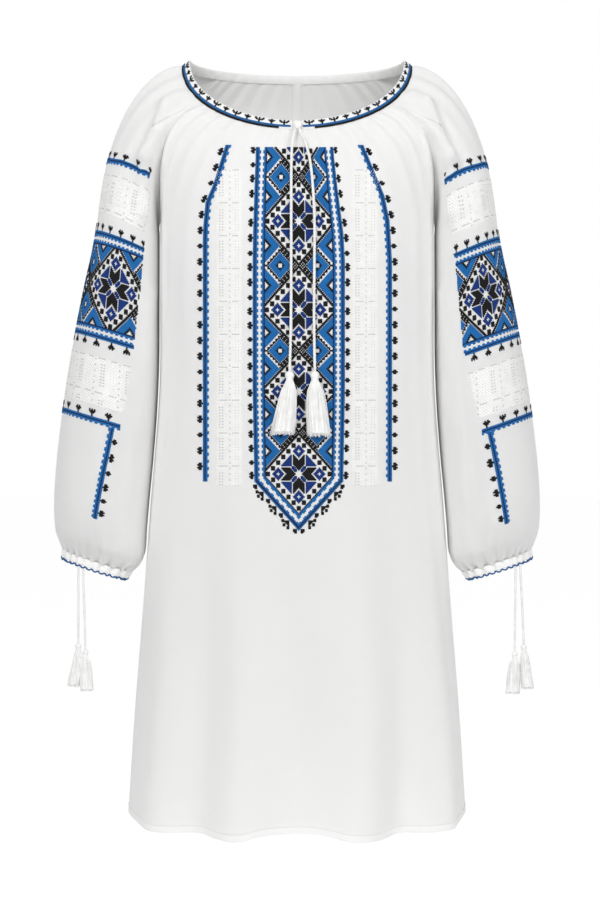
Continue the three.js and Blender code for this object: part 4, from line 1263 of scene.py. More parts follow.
def seen_at(cloth, seeds, x, y, rounds=4):
    tree, us, vs = seeds
    nearest = [tree.find((a, b, 0))[1] for a, b in zip(x, y)]
    u, v = us[nearest].copy(), vs[nearest].copy()
    goal = np.stack([x, y], axis=-1)
    for _ in range(rounds):
        here, du, dv = flat_slopes(cloth, u, v)
        det = du[:, 0] * dv[:, 1] - du[:, 1] * dv[:, 0]
        miss = goal - here
        det = np.where(np.abs(det) < 1e-6, 1e-6, det)
        u = u + np.clip((miss[:, 0] * dv[:, 1] - miss[:, 1] * dv[:, 0]) / det, -0.02, 0.02)
        v = v + np.clip((du[:, 0] * miss[:, 1] - du[:, 1] * miss[:, 0]) / det, -0.1, 0.1)
    return u, v


def flat_slopes(cloth, u, v):
    here = to_frame(cloth(u, v))
    du = (to_frame(cloth(u + SMALL, v)) - here) / SMALL
    dv = (to_frame(cloth(u, v + SMALL)) - here) / SMALL
    return here, du, dv


def cloth_frame(cloth, u, v, flip=1.0):
    """A place on the cloth, the way out of it, and its two slopes."""
    here = cloth(u, v)
    du = (cloth(u + SMALL, v) - here) / SMALL
    dv = (cloth(u, v + SMALL) - here) / SMALL
    return here, unit(np.cross(du, dv)) * flip, du, dv


print("the origin stands at", to_frame(np.zeros(3)).round(1), "in the flat frame")

# %% [markdown]
# ## One stitch, many times
#
# A cross stitch is two short legs that cross, and each leg dives into the cloth at both ends.
# Geometry Nodes set one such pair on every point of a chart. Each point carries its turn and the
# size of its cell, so the crosses follow the cloth. A second tree sets a single leg, for satin bars
# and sewing. Each tree ends in Realize Instances and Set Material, because only real mesh is kept.

# %% Node tree for stitches
def build_stitch_tree(name, legs):
    """legs: the turn of each leg in degrees, and its rise over the first one."""
    tree = bpy.data.node_groups.new(name, "GeometryNodeTree")
    new_socket(tree, "Geometry", "Geometry")
    new_socket(tree, "Leg length", "Float", value=1.3)
    new_socket(tree, "Leg width", "Float", value=0.6)
    new_socket(tree, "Leg height", "Float", value=0.4)
    new_socket(tree, "Material", "Material")
    new_socket(tree, "Geometry", "Geometry", "OUTPUT")
    ins = tree.nodes.new("NodeGroupInput").outputs
    outs = tree.nodes.new("NodeGroupOutput").inputs
    cone = node(
        tree, "GeometryNodeMeshCone", Vertices=4, Radius_Top=0.0, Radius_Bottom=0.7071, Depth=1.0
    )
    square = node(
        tree, "GeometryNodeTransform", Geometry=cone.outputs["Mesh"], Rotation=(0, 0, math.pi / 4)
    )
    size = node(
        tree, "ShaderNodeCombineXYZ", X=ins["Leg length"], Y=ins["Leg width"], Z=ins["Leg height"]
    )
    leg = node(tree, "GeometryNodeTransform", Geometry=square.outputs[0], Scale=size.outputs[0])
    join = tree.nodes.new("GeometryNodeJoinGeometry")
    for turn, rise in legs:
        placed = node(
            tree, "GeometryNodeTransform", Geometry=leg.outputs[0],
            Rotation=(0, 0, math.radians(turn)), Translation=(0, 0, rise),
        )
        tree.links.new(placed.outputs[0], join.inputs[0])
    turn, cell = (
        node(tree, "GeometryNodeInputNamedAttribute", data_type="FLOAT_VECTOR", Name=key).outputs[0]
        for key in ("turn", "cell")
    )
    dots = node(tree, "GeometryNodeMeshToPoints", Mesh=ins["Geometry"])
    spread = node(
        tree, "GeometryNodeInstanceOnPoints", Points=dots.outputs[0], Instance=join.outputs[0],
        Rotation=turn, Scale=cell,
    )
    real = node(tree, "GeometryNodeRealizeInstances", Geometry=spread.outputs[0])
    painted = node(
        tree, "GeometryNodeSetMaterial", Geometry=real.outputs[0], Material=ins["Material"]
    )
    tree.links.new(painted.outputs[0], outs[0])
    return tree


CROSS = build_stitch_tree("cross stitch", [(45, 0.0), (-45, 0.12)])
SINGLE = build_stitch_tree("single stitch", [(0, 0.0)])
# Length, width and height of a leg, as shares of its cell.
CROSS_LEG, SATIN_BAR = (1.42, 0.78, 0.34), (1.7, 0.9, 0.3)
HOLE_DOT, SEWN_LEG = (0.62, 0.62, 0.04), (0.66, 0.32, 0.24)
CELL_HIGH = 1.87
CELL_MOST = 3.2  # a cell stays smaller than this where the cloth turns away
print("stitch trees", CROSS.name, "and", SINGLE.name)

# %% [markdown]
# The tree runs on a mesh of bare points that carry the two attributes. Its inputs are set before
# the mesh is first evaluated. The result becomes a plain mesh, and the points are thrown away.

# %% Setting stitches on points
def turn_of(right, out):
    """Euler angles that lay a stitch's own X along right and its Z along out."""
    right = unit(right - out * (right * out).sum(-1, keepdims=True))
    ahead = np.cross(out, right)
    return np.stack([
        np.arctan2(ahead[:, 2], out[:, 2]),
        np.arcsin(np.clip(-right[:, 2], -1, 1)),
        np.arctan2(right[:, 1], right[:, 0]),
    ], axis=-1)


def stitched(name, tree, places, right, out, cells, material, leg):
    """Sets a stitch on every place and returns the plain mesh piece."""
    mesh = bpy.data.meshes.new(name + "_points")
    mesh.from_pydata((places * MM).tolist(), [], [])
    for key, values in (("turn", turn_of(right, out)), ("cell", cells * MM)):
        attribute = mesh.attributes.new(key, "FLOAT_VECTOR", "POINT")
        attribute.data.foreach_set("vector", values.astype(np.float32).ravel())
    points = link(mesh, name + "_points")
    modifier = points.modifiers.new("stitches", "NODES")
    modifier.node_group = tree
    values = dict(zip(("Leg length", "Leg width", "Leg height"), leg)) | {"Material": material}
    for item in tree.interface.items_tree:
        if item.in_out == "INPUT" and item.name in values:
            modifier[item.identifier] = values[item.name]
    seen = points.evaluated_get(bpy.context.evaluated_depsgraph_get())
    made = bpy.data.meshes.new_from_object(seen)
    bpy.data.objects.remove(points)
    for layer in [a.name for a in made.attributes if a.name in ("turn", "cell")]:
        made.attributes.remove(made.attributes[layer])
    piece = link(made, name)
    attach(piece, "root")
    return piece


# %% [markdown]
# ## The charts
#
# The pattern is a traditional one and is worked out by counting. `a` counts stitches from the
# middle line, `v` counts rows from the middle of a star. Sums of the two give diamonds, and every
# part of the star is a diamond or a piece of one. A code stands for each colour of thread.

# %% Star chart
NONE, BLACK, NAVY, ROYAL, SKY, WHITE, EDGING = range(7)
COLOURS = {
    BLACK: "black", NAVY: "navy", ROYAL: "royal", SKY: "sky", WHITE: "white", EDGING: "edging",
}
HALF_REPEAT = 29  # rows from the middle of a star to where two stars meet
INNER = 25  # stitches from the middle line to the border


def star(a, v):
    """Colour codes of the repeat at a stitches from its middle line and v rows from a star."""
    m = a + v
    side = np.abs(a - 14) + (HALF_REPEAT - v)
    edge = (INNER - a) + np.abs(v - 16)
    code = np.full(a.shape, NONE)
    code[(m == 30) & (a < 16) & (a % 2 == 0)] = BLACK
    code[((m == 31) | (m == 32)) & (a < 16)] = BLACK
    code[side <= 11] = BLACK
    code[(side == 11) & (a % 2 == 0)] = NONE
    code[edge <= 11] = NONE
    code[edge <= 10] = SKY
    code[edge <= 4] = BLACK
    code[edge <= 2] = NONE
    code[side <= 9] = NONE
    code[side <= 8] = SKY
    code[side <= 3] = BLACK
    code[(side == 2) & (a != 14) & (v != HALF_REPEAT)] = NONE
    code[side <= 1] = NONE
    code[(a + HALF_REPEAT - v <= 6) & (m % 2 == 1)] = BLACK
    code[(a + HALF_REPEAT - v <= 6) & (m % 2 == 0)] = NONE
    code[(m == 28) | (m == 29)] = BLACK
    code[m <= 27] = NONE
    k = np.round((a - v + 24) / 8)
    off_a, off_v = np.abs(a - 4 * k), np.abs(v - 24 + 4 * k)
    code[(m <= 27) & (off_a <= 1) & (off_v <= 1)] = BLACK
    code[(m <= 27) & (m >= 21) & (off_a + off_v == 2) & (off_a * off_v == 0) & (a != 0)] = NONE
    code[m <= 20] = NONE
    code[(a >= 6) & (v >= 6) & (m <= 19)] = ROYAL
    code[(np.abs(a - v) <= 1) & (m >= 4) & (m <= 10)] = ROYAL
    for p, q in ((a, v), (v, a)):
        code[(p <= 4) & (q >= 3 + p) & (q <= 9 + p)] = BLACK
        tip = p + np.abs(q - 16)
        code[tip <= 5] = NONE
        code[tip <= 4] = ROYAL
        code[tip <= 1] = NONE
    return code


quarter = star(*np.meshgrid(np.arange(INNER + 1), np.arange(HALF_REPEAT + 1)))
print("a quarter of the repeat has", int((quarter > 0).sum()), "stitches")

# %% [markdown]
# The star stands between borders: two dark lines with rows of teeth between them. Small plants grow
# on a border's outer side. They are drawn as rows of marks, each one stitch.

# %% Borders and plants
BORDER = [NAVY, SKY, "teeth", NONE, NONE, "teeth", SKY, NAVY, SKY]
BORDER_END = INNER + len(BORDER)


def border(code, e, row):
    """Lines and teeth of a border; e counts the stitches outwards from the middle of the star."""
    for k, kind in enumerate(BORDER):
        if kind == "teeth":
            code[(e == INNER + 1 + k) & (row % 4 < 2)] = SKY
        else:
            code[e == INNER + 1 + k] = kind
    return code


# Sprigs stand on a border; the last column of each is its foot.
SPRIG = [".XX.", "XXX.", ".XXX", "XXX.", ".XX."]
SMALL_SPRIG = ["....", ".XX.", "XXXX", ".XX.", "...."]
BUD = ["XXX", "XXX", "XX."]


def stamp(chart, row, col, shape, flip_x=False, flip_y=False):
    """Adds a small black shape to a list of (row, column, code)."""
    drawn = [line[::-1] if flip_x else line for line in shape]
    drawn = drawn[::-1] if flip_y else drawn
    for r, line in enumerate(drawn):
        for c, mark in enumerate(line):
            if mark == "X":
                chart.append((row + r, col + c, BLACK))


def stripe_rows(count, rhythm):
    """A narrow stripe of count rows: two blue columns round a navy one, and teeth on one side."""
    found = []
    for r in range(count):
        found += [(r, -1, SKY), (r, 0, NAVY), (r, 1, SKY)]
        if r % rhythm < 2:
            found.append((r, -2, SKY))
    return found


print("a border is", len(BORDER), "stitches wide")

# %% [markdown]
# ## The panel of the front
#
# The chart's rows and stitches are laid in the flat frame: so many steps a stitch, with the star
# rows where the gathers draw the cloth together or let it out. Its lower end is a point.

# %% Front panel
STITCH = 1.43  # steps of the flat frame for one stitch
PANEL_STITCH = 1.33  # the panel is drawn in a little across
PANEL_X = 298.8
STAR_ROWS = [0, 58, 116, 174, 232, 290]
STAR_STEPS = [133.0, 221.2, 310.0, 391.5, 474.0, 557.0]
PANEL_TOP = 148.0
PANEL_ROWS = (10, 290)
PANEL_SPRIGS = (24, 9, 9.67)  # how many, row of the first one, rows from one to the next
PANEL_NARROWS = ([390, 475], [1.0, 0.965])  # towards its end
PANEL_DRAWN_IN = {  # how far the gathers draw the panel together near its top
    "y": [145, 156, 189, 233, 262], "left": [0.93, 0.935, 0.96, 0.99, 1.0],
    "right": [0.74, 0.76, 0.84, 0.965, 1.0],
}
LAST_STAR = 232
SLANT_FROM, SLANT = 28, 0.745  # where the pointed end's border starts, and its lines for one row
SLOPE = ["....XX", "XXXXXX", "XXX...", "XX.XX.", "X..XX.", "XX....", "XX...."]  # leans outwards
SLOPE_PLANTS = [  # stitches from the middle line, rows below the last star, shape
    (33, 8, BUD), (28, 12, SLOPE), (23, 18, BUD), (18, 22, SLOPE), (13, 28, BUD), (8, 32, SLOPE),
    (2, 39, BUD),
]


def panel_chart():
    cols = np.arange(-BORDER_END, BORDER_END + 1)
    row, col = np.meshgrid(np.arange(*PANEL_ROWS), cols, indexing="ij")
    a = np.abs(col)
    beyond = np.maximum(0, row - LAST_STAR)
    v = np.abs((row + HALF_REPEAT) % (2 * HALF_REPEAT) - HALF_REPEAT)
    slant = INNER + 1 + np.rint((a + beyond - SLANT_FROM) * SLANT).astype(int)
    e = np.where((beyond > 0) & (a + beyond >= SLANT_FROM), np.maximum(a, slant), a)
    code = np.where(e <= INNER, star(a, v), NONE)
    code = border(code, e, np.where(e > a, a, row))
    code[e > BORDER_END] = NONE
    found = [(r, c, k) for r, c, k in zip(row.ravel(), col.ravel(), code.ravel()) if k]
    count, first, pitch = PANEL_SPRIGS
    for n in range(count):
        shape = SPRIG if n % 3 != 1 else SMALL_SPRIG
        stamp(found, first + round(n * pitch), -BORDER_END - 4, shape)
        stamp(found, first + round(n * pitch), BORDER_END + 1, shape, flip_x=True)
    for a_at, down, shape in SLOPE_PLANTS:
        stamp(found, LAST_STAR + down, -a_at - len(shape[0]) + 1, shape, flip_x=True)
        stamp(found, LAST_STAR + down, a_at, shape)
    return np.array(found)


def panel_places(chart):
    y = np.interp(chart[:, 0], STAR_ROWS, STAR_STEPS)
    drawn = [np.interp(y, PANEL_DRAWN_IN["y"], PANEL_DRAWN_IN[key]) for key in ("left", "right")]
    drawn = [share * np.interp(y, *PANEL_NARROWS) for share in drawn]
    wide = PANEL_STITCH * np.where(chart[:, 1] < 0, *drawn)
    tall = np.gradient(np.interp(np.arange(300), STAR_ROWS, STAR_STEPS))[chart[:, 0]]
    return PANEL_X + chart[:, 1] * wide, y, wide, tall


panel = panel_chart()
print("the panel has", len(panel), "stitches")

# %% [markdown]
# Two more stripes run down beside the panel. They bend inwards at the top, where the neck is
# gathered. Sprigs stand on their outer sides and small teeth on their inner ones.

# %% Side stripes
STRIPES = {
    -1: {"y": [145, 184, 203, 225, 240, 484], "x": [228, 216, 208, 206, 205.4, 205.4]},
    1: {"y": [145, 174, 196, 221, 262, 484], "x": [361, 373, 382, 387, 389.5, 389.5]},
}
STRIPE_TOP, STRIPE_FOOT = 146, 483
SPRIG_PITCH = 11


def stripe_chart():
    """Rows down the stripe; columns count outwards from its navy line."""
    count = int((STRIPE_FOOT - STRIPE_TOP) / STITCH)
    found = stripe_rows(count, 5)
    for n in range(count // SPRIG_PITCH):
        shape = SPRIG if n % 4 != 2 else SMALL_SPRIG
        stamp(found, 2 + n * SPRIG_PITCH, 2, shape, flip_x=True)
    return np.array(found)


def stripe_places(chart, side):
    y = STRIPE_TOP + chart[:, 0] * STITCH
    x = np.interp(y, STRIPES[side]["y"], STRIPES[side]["x"]) + side * chart[:, 1] * STITCH
    return x, y, *np.full((2, len(y)), STITCH)


stripe = stripe_chart()
print("a side stripe has", len(stripe), "stitches")

# %% [markdown]
# Now the charts go on the cloth. Each stitch finds its place on the front and is turned and sized by
# the cloth's slopes there, so that it stays square in the flat frame. One piece is made for each
# colour of thread.

# %% Stitching the front
LIFT = 0.05  # a stitch starts just above the cloth's face


def stitch_colours(name, tree, code, places, right, out, cells, leg, paint):
    for kind, colour in COLOURS.items():
        pick = code == kind
        if pick.any():
            made = stitched(
                f"{name}_{colour}", tree, places[pick], right[pick], out[pick], cells[pick],
                paint[colour], leg,
            )
            print(made.name, int(pick.sum()), "stitches")


def lay_flat_chart(name, sets, tree=CROSS, leg=CROSS_LEG, paint=PAINT):
    """Sets the stitches of flat charts on the front."""
    code, x, y, wide, tall = (np.concatenate(parts) for parts in zip(*sets))
    u, v = seen_at(front_net, front_seeds, x, y)
    here, out, du, dv = cloth_frame(front_net, u, v)
    seen, fu, fv = flat_slopes(front_net, u, v)
    det = fu[:, 0] * fv[:, 1] - fu[:, 1] * fv[:, 0]
    right = du * (fv[:, 1] / det)[:, None] - dv * (fu[:, 1] / det)[:, None]
    down = dv * (fu[:, 0] / det)[:, None] - du * (fv[:, 0] / det)[:, None]
    lost = np.linalg.norm(seen - np.stack([x, y], -1), axis=-1) >= 0.5  # no such place on the cloth
    width = np.minimum(np.linalg.norm(right, axis=-1) * wide, CELL_MOST)
    height = np.minimum(np.linalg.norm(down, axis=-1) * tall, CELL_MOST)
    cells = np.stack([width, height, np.full(len(x), CELL_HIGH)], -1)
    places = here + out * (CLOTH / 2 + LIFT)
    stitch_colours(name, tree, np.where(lost, NONE, code), places, right, out, cells, leg, paint)


front_seeds = seeds_of(front_net, np.linspace(-0.95, 0.95, 160), np.linspace(0.3, 1.99, 220))
x, y, wide, tall = panel_places(panel)
keep = y >= PANEL_TOP
sets = [(panel[keep, 2], x[keep], y[keep], wide[keep], tall[keep])]
sets += [(stripe[:, 2], *stripe_places(stripe, side)) for side in SIDES]
lay_flat_chart("front_stitches", sets)

# %% [markdown]
# ## White openwork
#
# Between the stripes lie white strips on white cloth: satin bars with rows of tiny holes between
# them, in blocks that repeat. The bars are raised thread. Each hole is a small flat dot painted
# grey, painted shade where the hole would be, because real ones are under two millimetres wide.

# %% Openwork of the front
BLOCK = 23  # rows in a block
OPEN_WIDE = 18
OPEN_TALL, OPEN_TOP = 221, 170.0
OPEN_STRIPS = (217.0, 353.0)


def openwork_chart(rows, wide=OPEN_WIDE):
    """Bars and holes of an openwork strip, as two lists of (row, column, code)."""
    bars, holes = [], []
    for r in range(rows):
        for c in range(wide):
            block_row, block_col = r % BLOCK, c % OPEN_WIDE
            dotted = block_col in (2, 4, 13, 15) and r % 2 == 0 and 3 < block_row < 20
            middle = block_col == 9 and r % 4 < 2
            dash = block_row == 0 and block_col not in (0, 1, 8, 9, 10, 16, 17)
            ladder = block_row in (6, 11, 16) and c % 2 == 0 and block_col in (5, 7, 11, 13)
            if dotted or middle or dash or ladder:
                holes.append((r, c, WHITE))
            elif (r + c) % 2 == 0:
                bars.append((r, c, WHITE))
    return np.array(bars), np.array(holes)


def openwork_places(chart, start):
    x, y = start + chart[:, 1] * STITCH, OPEN_TOP + chart[:, 0] * STITCH
    return chart[:, 2], x, y, *np.full((2, len(chart)), STITCH)


bars, holes = (
    [openwork_places(chart, start) for start in OPEN_STRIPS] for chart in openwork_chart(OPEN_TALL)
)
lay_flat_chart("front_openwork", bars, SINGLE, SATIN_BAR)
lay_flat_chart("front_holes", holes, SINGLE, HOLE_DOT, PAINTED_HOLE_SHADE)

# %% [markdown]
# ## The sleeves' bands
#
# Each sleeve carries the same star between two borders, with the border lines running round the
# sleeve. Here the chart follows the cloth's own ways: columns are even steps round the outer side,
# and rows lie between guide lines. A guide line is given by its two ends in the flat frame.

# %% Stitches along a surface's own ways
STITCH_MM = 1.86
CELL_LEAST = 0.5


def lay_chart(name, spot, chart, behind, high=CELL_HIGH, tree=CROSS, leg=CROSS_LEG, paint=PAINT):
    """spot(column, row) gives a place on the outer face; behind gives a place inside the form."""
    row, col, code = chart[:, 0].astype(float), chart[:, 1].astype(float), chart[:, 2]
    here = spot(col, row)
    right = (spot(col + 0.3, row) - spot(col - 0.3, row)) / 0.6
    down = (spot(col, row + 0.3) - spot(col, row - 0.3)) / 0.6
    out = unit(np.cross(down, right))
    out = out * np.where(((here - behind(col, row)) * out).sum(-1, keepdims=True) < 0, -1, 1)
    width, height = (
        np.clip(np.linalg.norm(way, axis=-1), CELL_LEAST, CELL_MOST) for way in (right, down)
    )
    cells = np.stack([width, height, np.full(len(col), high)], axis=-1)
    stitch_colours(name, tree, code, here + out * LIFT, right, out, cells, leg, paint)


print("a stitch round the sleeve is about", STITCH_MM, "mm wide")

# %% [markdown]
# The guide lines are read from the flat frame once. Each one becomes a function that gives the
# sleeve's level at any place round it, also on the side that faces away.

# %% Guide lines of the sleeves
STAR_COLUMNS = 58  # from the outer line to the star that faces the front
SLEEVE_LINES = {  # row, then points along the line from the outer side inwards, for each sleeve
    -1: [
        (-92, [(112, 146), (124, 149), (133, 153), (143, 159), (152, 165)]),
        (-82, [(109.5, 159.6), (121, 161.8), (130, 165.2), (140, 171), (151, 177.5)]),
        (-77, [(107.9, 167.1), (119.6, 169.3), (128.9, 172.7), (139, 178.4), (150.3, 184.9)]),
        (-70, [(105.6, 177.6), (117.3, 179.9), (127, 183.1), (137.4, 188.7), (149.2, 195.3)]),
        (-55, [(100.7, 200.2), (124, 207.7), (147, 217.5)]),
        (-34.5, [(94, 231), (144, 248)]), (-25.5, [(91.5, 244), (143, 259)]),
        (25.5, [(79.5, 321), (134.6, 337)]), (34.5, [(77, 333), (133, 349)]),
        (88, [(65, 410), (120.5, 427)]),
    ],
    1: [
        (-92, [(480, 150), (468, 153), (459, 157), (449, 163), (444, 167)]),
        (-82, [(483.5, 164), (470, 168), (460, 172), (451, 177), (445, 181)]),
        (-77, [(485, 171.7), (471.2, 175.7), (461.1, 179.7), (452, 184.7), (446, 188.7)]),
        (-70, [(487, 182.4), (473.2, 186.4), (463.2, 190.4), (453.8, 195.5), (447.3, 199.4)]),
        (-55, [(491.5, 205.5), (471.5, 212.7), (450.1, 222.5)]),
        (-34.5, [(497.5, 237), (454, 254)]), (-25.5, [(499.5, 250), (456, 266)]),
        (25.5, [(513.5, 326), (463, 344)]), (34.5, [(516, 338), (465, 356)]),
        (88, [(530.5, 414), (482, 432)]),
    ],
}
STAR_AT = {-1: (113.3, 288.9), 1: (485.6, 294.5)}
DOWN_LINE = {-1: ((112, 429), (95, 518)), 1: ((490, 433), (506.5, 523))}
SLEEVE_NET = (np.linspace(0.02, 0.5, 120), np.linspace(0.1, 10.9, 330))
sleeve_seeds = {side: seeds_of(cloth, *SLEEVE_NET) for side, cloth in NETS.items()}


def sleeve_guides(side):
    """Each guide line as row, its inner end round the sleeve, and a function for its level."""
    cloth = NETS[side]
    guides = []
    for row, points in SLEEVE_LINES[side]:
        x, y = np.array(points, float).T
        around, level = seen_at(cloth, sleeve_seeds[side], x, y, 6)
        drop = max(0.0, level.mean() - 1) / LAST_ROW
        order = np.argsort(around)
        around, level = around[order], level[order]

        def share_of(at, drop=drop):
            return (1 + np.cos(2 * np.pi * ring_turn(at % 1.0, drop))) / 2

        share = share_of(around)
        slope = (level[-1] - level[0]) / (share[-1] - share[0])
        bow = level - level[0] - slope * (share - share[0])

        def level_at(at, around=around, slope=slope, bow=bow, share_of=share_of,
                     base=level[0] - slope * share[0]):
            folded = np.minimum(at % 1.0, 1 - at % 1.0)
            return base + slope * share_of(at) + np.interp(folded, around, bow)

        guides.append((row, float(around[0]), level_at))
        print("guide", side, row, "around", around.round(3), "level", level.round(2))
    return guides


def between(guides, around, row):
    """The level of a row at places round the sleeve, between its two nearest guide lines."""
    level = None
    for (r0, _, low), (r1, _, high) in zip(guides, guides[1:]):
        here = low(around) + (row - r0) * (high(around) - low(around)) / (r1 - r0)
        level = here if level is None else np.where(row > r0, here, level)
    return level


def sleeve_spot(side, guides, row, stitch):
    """A chart's columns are even steps of stitch millimetres from the outer line along one row."""
    cloth = NETS[side]
    fine = np.linspace(0.02, 0.98, 1401)
    line = cloth(fine, between(guides, fine, np.full_like(fine, row)))
    run = run_along(line)
    run -= np.interp(0.5, fine, run)  # counted from the outer line
    if stitch is None:  # the star's middle sets the width of a stitch
        x, y = STAR_AT[side]
        around, _ = seen_at(cloth, sleeve_seeds[side], np.array([x]), np.array([y], float), 6)
        stitch = -np.interp(around[0], fine, run) / STAR_COLUMNS
        print("stitch round the sleeve", round(float(stitch), 2), "mm")

    def where(col, r):
        around = np.interp(col * stitch, run, fine)
        return around, between(guides, around, r)

    def spot(col, r):
        around, level = where(col, r)
        return cloth(around, level) + outward(cloth, around, level) * CLOTH / 2

    def behind(col, r):
        around, level = where(col, r)
        return cloth((around + 0.5) % 1.0, level)

    return spot, behind, where


def outward(cloth, around, level):
    """The way out of a sleeve's cloth."""
    du = cloth(around + SMALL, level) - cloth(around - SMALL, level)
    dv = cloth(around, level + 0.01) - cloth(around, level - 0.01)
    out = unit(np.cross(du, dv))
    inside = cloth((around + 0.5) % 1.0, level)
    here = cloth(around, level)
    return out * np.where(((here - inside) * out).sum(-1, keepdims=True) < 0, -1, 1)


def trimmed(chart, where, guides):
    """The chart without the stitches past its inner end on the front; the back mirrors it."""
    around, _ = where(chart[:, 1].astype(float), chart[:, 0].astype(float))
    end = np.interp(chart[:, 0], [g[0] for g in guides], [g[1] for g in guides])
    return chart[(around >= end) & (around <= 1 - end)]


GUIDES = {side: sleeve_guides(side) for side in SIDES}

# %% [markdown]
# The block has its stars side by side round the sleeve. A stripe with plants closes the embroidery
# at the top, and another one below. The upper one is short, because the gathers begin above it.

# %% Charts of the sleeves
BLOCK_REACH = 110
SPROUT = ["X.X.X", "XXXXX", ".XXX.", "..X..", "..X.."]
SPROUT_SMALL = [".X.X.", "XXXXX", ".XXX.", "..X..", "..X.."]
SPROUT_PITCH = 12


def sprouts(found, row, cols, upward):
    """A row of small plants standing on a line, growing up or down."""
    for n, col in enumerate(cols):
        shape = SPROUT if n % 2 else SPROUT_SMALL
        stamp(found, row - 4 if upward else row, col - 2, shape, flip_y=not upward)


def block_chart():
    rows = np.arange(-BORDER_END, BORDER_END + 1)
    row, col = np.meshgrid(rows, np.arange(-BLOCK_REACH, BLOCK_REACH + 1), indexing="ij")
    a = np.abs(row)
    v = np.abs((col + HALF_REPEAT) % (2 * HALF_REPEAT) - HALF_REPEAT)
    code = border(np.where(a <= INNER, star(a, v), NONE), a, col)
    found = [(r, c, k) for r, c, k in zip(row.ravel(), col.ravel(), code.ravel()) if k]
    first = -(BLOCK_REACH // SPROUT_PITCH) * SPROUT_PITCH
    for line, upward in ((-BORDER_END - 1, True), (BORDER_END + 1, False)):
        sprouts(found, line, np.arange(first, BLOCK_REACH - 1, SPROUT_PITCH), upward)
    return np.array(found)


def line_chart(row, reach):
    """One stripe across the sleeve: two blue rows round a navy one, plants above, teeth below."""
    found = []
    for col in range(-reach, reach + 1):
        found += [(row - 1, col, SKY), (row, col, NAVY), (row + 1, col, SKY)]
        if col % 4 < 2:
            found.append((row + 2, col, SKY))
    first = -(reach // SPROUT_PITCH) * SPROUT_PITCH
    sprouts(found, row - 2, np.arange(first, reach, SPROUT_PITCH), True)
    return np.array(found)


for side, label in SIDES.items():
    guides = GUIDES[side]
    spot, behind, where = sleeve_spot(side, guides, 0.0, None)
    lay_chart(f"sleeve_{label}_star", spot, trimmed(block_chart(), where, guides), behind)
    for part, row, reach in (("upper", -82, 60), ("lower", 88, 90)):
        spot, behind, where = sleeve_spot(side, guides, float(row), STITCH_MM)
        chart = trimmed(line_chart(row, reach), where, guides)
        lay_chart(f"sleeve_{label}_stripe_{part}", spot, chart, behind)

# %% [markdown]
# From the lower stripe a short line runs down towards the cuff, with teeth on its outer side and
# plants on its inner one. The back of the sleeve has its mirror image.

# %% Lines towards the cuffs
DOWN_ROWS = 63


def down_chart():
    found = stripe_rows(DOWN_ROWS, 4)
    for n in range(6):
        stamp(found, 5 + n * 10, 2, SPRIG if n % 2 else SMALL_SPRIG, flip_x=True)
    return np.array(found)


for side, label in SIDES.items():
    cloth = NETS[side]
    ends, drops = seen_at(cloth, sleeve_seeds[side], *np.array(DOWN_LINE[side], float).T, 6)
    for face, opposite in (("front", 0.75), ("back", 0.25)):
        def spot(col, row):
            t = row / (DOWN_ROWS - 1)
            level, middle = mix(*drops, t), mix(*ends, t)
            step = np.linalg.norm(cloth(middle + SMALL, level) - cloth(middle - SMALL, level), axis=-1)
            around = middle - col * STITCH_MM / (step / (2 * SMALL))
            around = around if face == "front" else 1 - around
            return cloth(around, level) + outward(cloth, around, level) * CLOTH / 2

        def behind(col, row):
            level = mix(*drops, row / (DOWN_ROWS - 1))
            return cloth(np.full(len(level), opposite), level)

        lay_chart(f"sleeve_{label}_line_{face}", spot, down_chart(), behind)

# %% [markdown]
# Between the stripes and the star the sleeves have white openwork too, with the same blocks of bars
# and holes, laid side by side round the sleeve.

# %% Openwork of the sleeves
OPEN_REACH = 5 * OPEN_WIDE
for side, label in SIDES.items():
    guides = GUIDES[side]
    for part, first, rows in (("upper", -72, 26), ("lower", 47, 32)):
        spot, behind, where = sleeve_spot(side, guides, first + rows / 2, STITCH_MM)
        bars, holes = openwork_chart(rows, 2 * OPEN_REACH)
        # the holes are flat grey dots of painted shade
        kinds = ("bars", bars, SATIN_BAR, PAINT), ("holes", holes, HOLE_DOT, PAINTED_HOLE_SHADE)
        for kind, chart, leg, paint in kinds:
            chart = trimmed(chart + [first, -OPEN_REACH, 0], where, guides)
            name = f"sleeve_{label}_{part}_{kind}"
            lay_chart(name, spot, chart, behind, tree=SINGLE, leg=leg, paint=paint)

# %% [markdown]
# ## The neck band's embroidery
#
# Two black rows and two blue ones run along the band's lower edge. Little trees and clover leaves
# stand on them in turn. The pattern starts again on each side of the knot.

# %% Stitches of the band
BAND_ROWS = 9
PLANT_PITCH = 9
KNOT_GAP = 1.5  # bare cloth on each side of the opening
BLACK_FROM = 16.0  # the gathers at the knot hide the lowest row this far out
NECK_TREE = ["X..X..X", "XX.X.XX", ".XXXXX.", "...X...", "...X..."]
NECK_CLOVER = ["..X..", "XXXXX", ".XXX.", "..X..", "..X.."]
angles = np.linspace(BAND_SLIT, 2 * np.pi - BAND_SLIT, 3000)
edge_run = run_along(band_edge(BAND_LOWER, angles))
BAND_COLUMNS = int(edge_run[-1] / STITCH_MM)


def band_spot(col, row):
    angle = np.interp((col + 0.5) * STITCH_MM, edge_run, angles)
    share = (row + 0.65) / (BAND_ROWS + 1.0)
    face = np.interp(share, [0, 0.2, 0.5, 0.78, 0.92, 1], [0.9, 1.05, 1.1, 1.0, 0.72, 0.2])
    return band_place(angle, share, face + 0.15)  # just clear of the band's own face


def band_behind(col, row):
    angle = np.interp((col + 0.5) * STITCH_MM, edge_run, angles)
    return band_place(angle, (row + 0.5) / BAND_ROWS, np.full(len(angle), -5.0))


